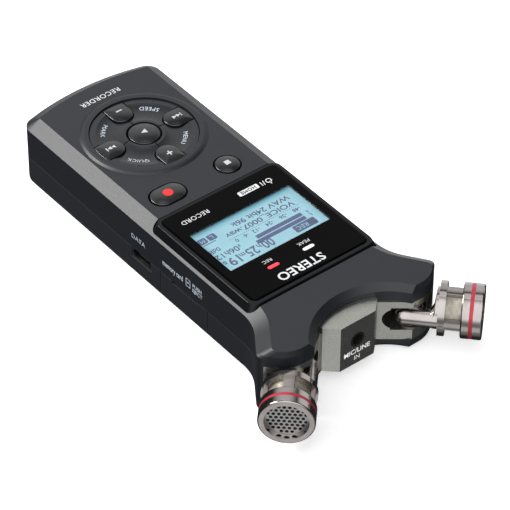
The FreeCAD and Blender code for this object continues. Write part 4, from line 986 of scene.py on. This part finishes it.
def boundary_loops(bm):
    """The closed runs of boundary edges, each as its points in order."""
    loops = []
    rim = [e for e in bm.edges if e.is_boundary]
    while rim:
        start, here = rim.pop().verts
        loop = [start]
        while here is not start:
            loop.append(here)
            onward = next(e for e in here.link_edges if e in rim)
            rim.remove(onward)
            here = onward.other_vert(here)
        loops.append([(v.co.x, v.co.y) for v in loop])
    return loops


def lcd_piece():
    """The lit panel behind the window."""
    low, high = span("lcd_panel")
    panel = slab("lcd_panel_face", [rounded_box(low.x, low.y, high.x, high.y, 0.3, 3)], low.z, high.z)
    finish_piece(panel, ROOT_BODY, lcd_glass)
    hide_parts("lcd_panel")
    return panel


# how much the strokes of small letters are thickened
SMALL_WEIGHT = 0.018

# words on the display: text, left end, right end, middle and height of the letters
LCD_WORDS = (
    ("00", 0.1, 4.1, 19.6, 3.6),
    ("h", 4.5, 5.7, 18.9, 2.0),
    ("25", 6.1, 10.1, 19.6, 3.6),
    ("m", 10.5, 12.4, 18.7, 1.4),
    ("19", 12.8, 16.8, 19.6, 3.6),
    ("s", 17.3, 18.5, 18.7, 1.4),
    ("06h12", 10.3, 18.9, 15.7, 2.3),
    ("L", -16.7, -15.9, 17.3, 1.2),
    ("R", -16.7, -15.9, 15.5, 1.2),
    ("0dB", 15.0, 19.0, 12.5, 1.8),
    ("WAV 24bit 96k", -16.2, 6.0, 6.7, 2.1),
    ("VOICE_0007.wav", -15.7, 10.2, 9.7, 2.1),
)

# words left light in a dark badge: text, the badge's left, near, right and far edges, height of the letters
LCD_BADGES = (
    ("   REC", -16.2, 18.4, -7.9, 21.6, 1.7),
    ("L", 12.3, 5.6, 15.3, 8.2, 1.5),
    ("M", 15.8, 5.6, 18.8, 8.2, 1.5),
)

# the two levels, a line over the badges and the peak mark: middle, width and height
LCD_BARS = (
    (-4.85, 17.3, 18.9, 1.55),
    (-5.55, 15.35, 17.5, 1.55),
    (16.1, 8.8, 4.7, 0.35),
    (9.7, 15.0, 0.45, 1.2),
)

# the levels' scale: text and its middle
LCD_SCALE = (("-48", -14.4), ("-36", -9.2), ("-24", -3.9), ("-12", 1.2), ("-6", 5.1), ("0", 8.7))
RULE_DOTS = 34
TICKS = 42
TICKS_PER_LONG_ONE = 7


def lcd_badge(text, left, near, right, far, height):
    """A dark rounded badge with its text left light."""
    letters = moved(lettering(text, height, 1.05), (left + right) / 2, (near + far) / 2)
    return cut_out(rounded_box(left, near, right, far, 0.5, 4), letters)


def text_line(text, left, right, y, height):
    """A line of text stretched to run from left to right."""
    vertices, faces = lettering(text, height, weight=SMALL_WEIGHT)
    low = min(v.x for v in vertices)
    high = max(v.x for v in vertices)
    scale = (right - left) / (high - low)
    return [Vector((left + (v.x - low) * scale, v.y + y, 0)) for v in vertices], faces


def lcd_content(panel):
    """What the display shows: a running time, two level bars and their scale, a file line and a format."""
    parts = [text_line(*word) for word in LCD_WORDS]
    parts += [lcd_badge(*badge) for badge in LCD_BADGES]
    parts += [filled([bar(*shape)]) for shape in LCD_BARS]
    parts.append(filled([circle(-14.3, 20.0, 0.95, 24), circle(-14.3, 20.0, 0.5, 24)]))
    parts += [moved(lettering(text, 1.55, weight=SMALL_WEIGHT), x, 12.85) for text, x in LCD_SCALE]
    parts += [filled([bar(-16.1 + i * 0.8, 11.35, 0.4, 0.22)]) for i in range(RULE_DOTS)]
    for i in range(TICKS):
        tall = 0.5 if i % TICKS_PER_LONG_ONE else 0.95
        parts.append(filled([bar(-16.4 + i * 0.86, 22.75, 0.32, tall)]))
    content = press_on("lcd_content", joined(*parts), panel, lift=0.015, longest=50.0)
    finish_piece(content, ROOT_BODY, segment_ink)


# ---- prints on the side wall and on the block between the microphones


def upright_print(name, parts, origin, right, material):
    """A flat print on an upright wall: origin in millimetres, right is its reading direction."""
    vertices, faces = parts
    up = Vector((0, 0, 1))
    placed = [Vector(origin) + Vector(right) * v.x + up * v.y for v in vertices]
    finish_piece(mesh_object(name, placed, faces), ROOT_BODY, material)


def card_sign():
    """A card's outline with an arrow in it."""
    rim = [rounded_box(-1.1, -1.6, 1.1, 1.6, 0.3, 3), rounded_box(-0.85, -1.35, 0.85, 1.35, 0.2, 3)]
    return joined(filled(rim), filled([[(-0.5, -0.2), (0.5, -0.2), (0.0, 0.75)]]))


def push_and_eject():
    """Two short words, one over the other, that start at the same place."""
    return joined(text_line("PUSH", -2.4, 2.0, 0.95, 1.4), text_line("EJECT", -2.4, 2.4, -0.95, 1.4))


def side_prints():
    """Signs over the data port and the card slot, and under the input jack."""
    wall = CASE_SIDE + PRINT_LIFT
    wall_signs = (
        ("port_print", lettering("DATA", 1.75, 1.05), -14.5, 15.6),
        ("card_word_print", text_line("memory card", -4.9, 5.2, 0, 2.05), 2.7, 15.5),
        ("card_sign_print", card_sign(), 10.5, 15.65),
        ("card_push_print", push_and_eject(), 15.1, 15.4),
    )
    for name, parts, y, z in wall_signs:
        upright_print(name, parts, (wall, y, z), (0, 1, 0), blue_ink)
    # the block's prints glow a little: painted light that keeps them clear in the block's shade
    block_signs = (
        ("input_print", text_line("MIC/LINE", -5.0, 5.0, 0, 1.8), 9.2),
        ("input_in_print", lettering("IN", 1.6, 1.05), 6.5),
    )
    for name, parts, z in block_signs:
        place = (0.05, BLOCK_FACE + PRINT_LIFT, z)
        upright_print(name, parts, place, (-1, 0, 0), glowing_ink)


# ---- floor, lights and camera


def heading(azimuth, elevation):
    """A unit direction; azimuth is measured from +X toward +Y."""
    a = math.radians(azimuth)
    e = math.radians(elevation)
    return Vector((math.cos(a) * math.cos(e), math.sin(a) * math.cos(e), math.sin(e)))


def floor():
    """Plain pale paper under the object, in metres."""
    half = 3.0
    corners = [(-half, -half, 0), (half, -half, 0), (half, half, 0), (-half, half, 0)]
    mesh = bpy.data.meshes.new("floor")
    mesh.from_pydata(corners, [], [(0, 1, 2, 3)])
    plane = linked("floor", mesh)
    gap = 0.0002
    plane.location.z = -gap
    look = Look("floor_paper", (0.93, 0.93, 0.93), 0.9, specular=0.1)
    cloud = look.spread(look.noise(40.0, 3.0), 0.0, 1.0)
    look.link(look.mix(cloud, (0.92, 0.92, 0.92), (0.94, 0.94, 0.94)), "Base Color")
    look.set("Emission Color", (1, 1, 1, 1))
    look.set("Emission Strength", 0.5)
    mesh.materials.append(look.material)
    plane.visible_glossy = False
    plane.visible_diffuse = False
    plane.visible_shadow = False


def softbox(name, azimuth, elevation, distance, width, height, power, colour=(1, 1, 1)):
    """An area light aimed at the object."""
    aim = Vector((0, 0, 0.013))
    back = heading(azimuth, elevation)
    light = bpy.data.lights.new(name, "AREA")
    light.shape = "RECTANGLE"
    light.size = width
    light.size_y = height
    light.energy = power
    light.color = colour
    lamp = linked(name, light)
    lamp.location = aim + back * distance
    lamp.rotation_euler = (-back).to_track_quat("-Z", "Y").to_euler()


# soft pale cards round the object: azimuth, elevation, full and fading half angles, and brightness
CARDS = (
    (48, 38, 27, 60, (1.55, 1.55, 1.56)),
    (64, -38, 24, 50, (0.30, 0.297, 0.29)),
    (-125, 30, 12, 34, (0.80, 0.80, 0.80)),
    (-171, 15, 8, 22, (0.95, 0.95, 0.95)),
    (-132, -9, 14, 27, (1.0, 1.0, 1.0)),
    (42, -41, 6, 17, (0.80, 0.80, 0.81)),
)
ROOM = (0.03, 0.031, 0.034)


def surroundings():
    """A dark room with large soft cards in it, which light the object and show in its glossy parts."""
    world = bpy.data.worlds.new("studio")
    bpy.context.scene.world = world
    world.use_nodes = True
    tree = world.node_tree
    direction = tree.nodes.new("ShaderNodeTexCoord").outputs["Generated"]
    colour = None
    for azimuth, elevation, full, fade, light in CARDS:
        share = card_share(tree, direction, heading(azimuth, elevation), full, fade)
        mix = tree.nodes.new("ShaderNodeMix")
        mix.data_type = "RGBA"
        tree.links.new(share, mix.inputs["Factor"])
        mix.inputs[MIX_FIRST].default_value = (*ROOM, 1)
        if colour:
            tree.links.new(colour, mix.inputs[MIX_FIRST])
        mix.inputs[MIX_SECOND].default_value = (*light, 1)
        colour = mix.outputs[MIX_RESULT]
    tree.links.new(colour, tree.nodes["Background"].inputs["Color"])


def card_share(tree, direction, middle_heading, full, fade):
    """1 within the full angle of a card's middle, fading to 0 at the fade angle."""
    facing = tree.nodes.new("ShaderNodeVectorMath")
    facing.operation = "DOT_PRODUCT"
    tree.links.new(direction, facing.inputs[0])
    facing.inputs[1].default_value = middle_heading
    share = tree.nodes.new("ShaderNodeMapRange")
    share.interpolation_type = "SMOOTHSTEP"
    tree.links.new(facing.outputs["Value"], share.inputs["Value"])
    share.inputs["From Min"].default_value = math.cos(math.radians(fade))
    share.inputs["From Max"].default_value = math.cos(math.radians(full))
    return share.outputs["Result"]


def studio():
    """The room, the two lamps and the floor."""
    surroundings()
    softbox("overhead", azimuth=-128, elevation=80, distance=0.9, width=0.4, height=0.4, power=0.5)
    warm = (1.0, 0.985, 0.965)
    softbox("key", azimuth=-54, elevation=43, distance=0.9, width=0.50, height=0.34, power=9.0, colour=warm)
    floor()
    scene = bpy.context.scene
    scene.view_settings.view_transform = "Standard"
    scene.view_settings.look = "None"


# where the picture was taken from and the point it looks at, in millimetres, and how far it is tilted
CAMERA_PLACE = (443.25, 561.02, 639.17)
CAMERA_TARGET = (-0.147, 0.853, 13.0)
CAMERA_ROLL = 0.063


def camera():
    """Where the picture was taken from, for a square frame."""
    data = bpy.data.cameras.new("camera")
    data.sensor_width = 36.0
    data.lens = 217.9
    data.shift_x = 0.0383
    data.shift_y = -0.0330
    data.clip_start = 0.05
    data.clip_end = 20.0
    made = linked("camera", data)
    place = Vector(CAMERA_PLACE) * MM
    turn = (Vector(CAMERA_TARGET) * MM - place).to_track_quat("-Z", "Y").to_matrix().to_4x4()
    roll = Matrix.Rotation(math.radians(CAMERA_ROLL), 4, "Z")
    made.matrix_world = Matrix.Translation(place) @ turn @ roll
    bpy.context.scene.camera = made


dress_nodes()
domed_keys = make_keys()
key_icons(domed_keys)
sector_labels()
sector_bumps()
case_print()
window_border = display_window_pieces()
lamp_lenses()
window_print(window_border)
lcd_face = lcd_piece()
lcd_content(lcd_face)
side_prints()
studio()
camera()
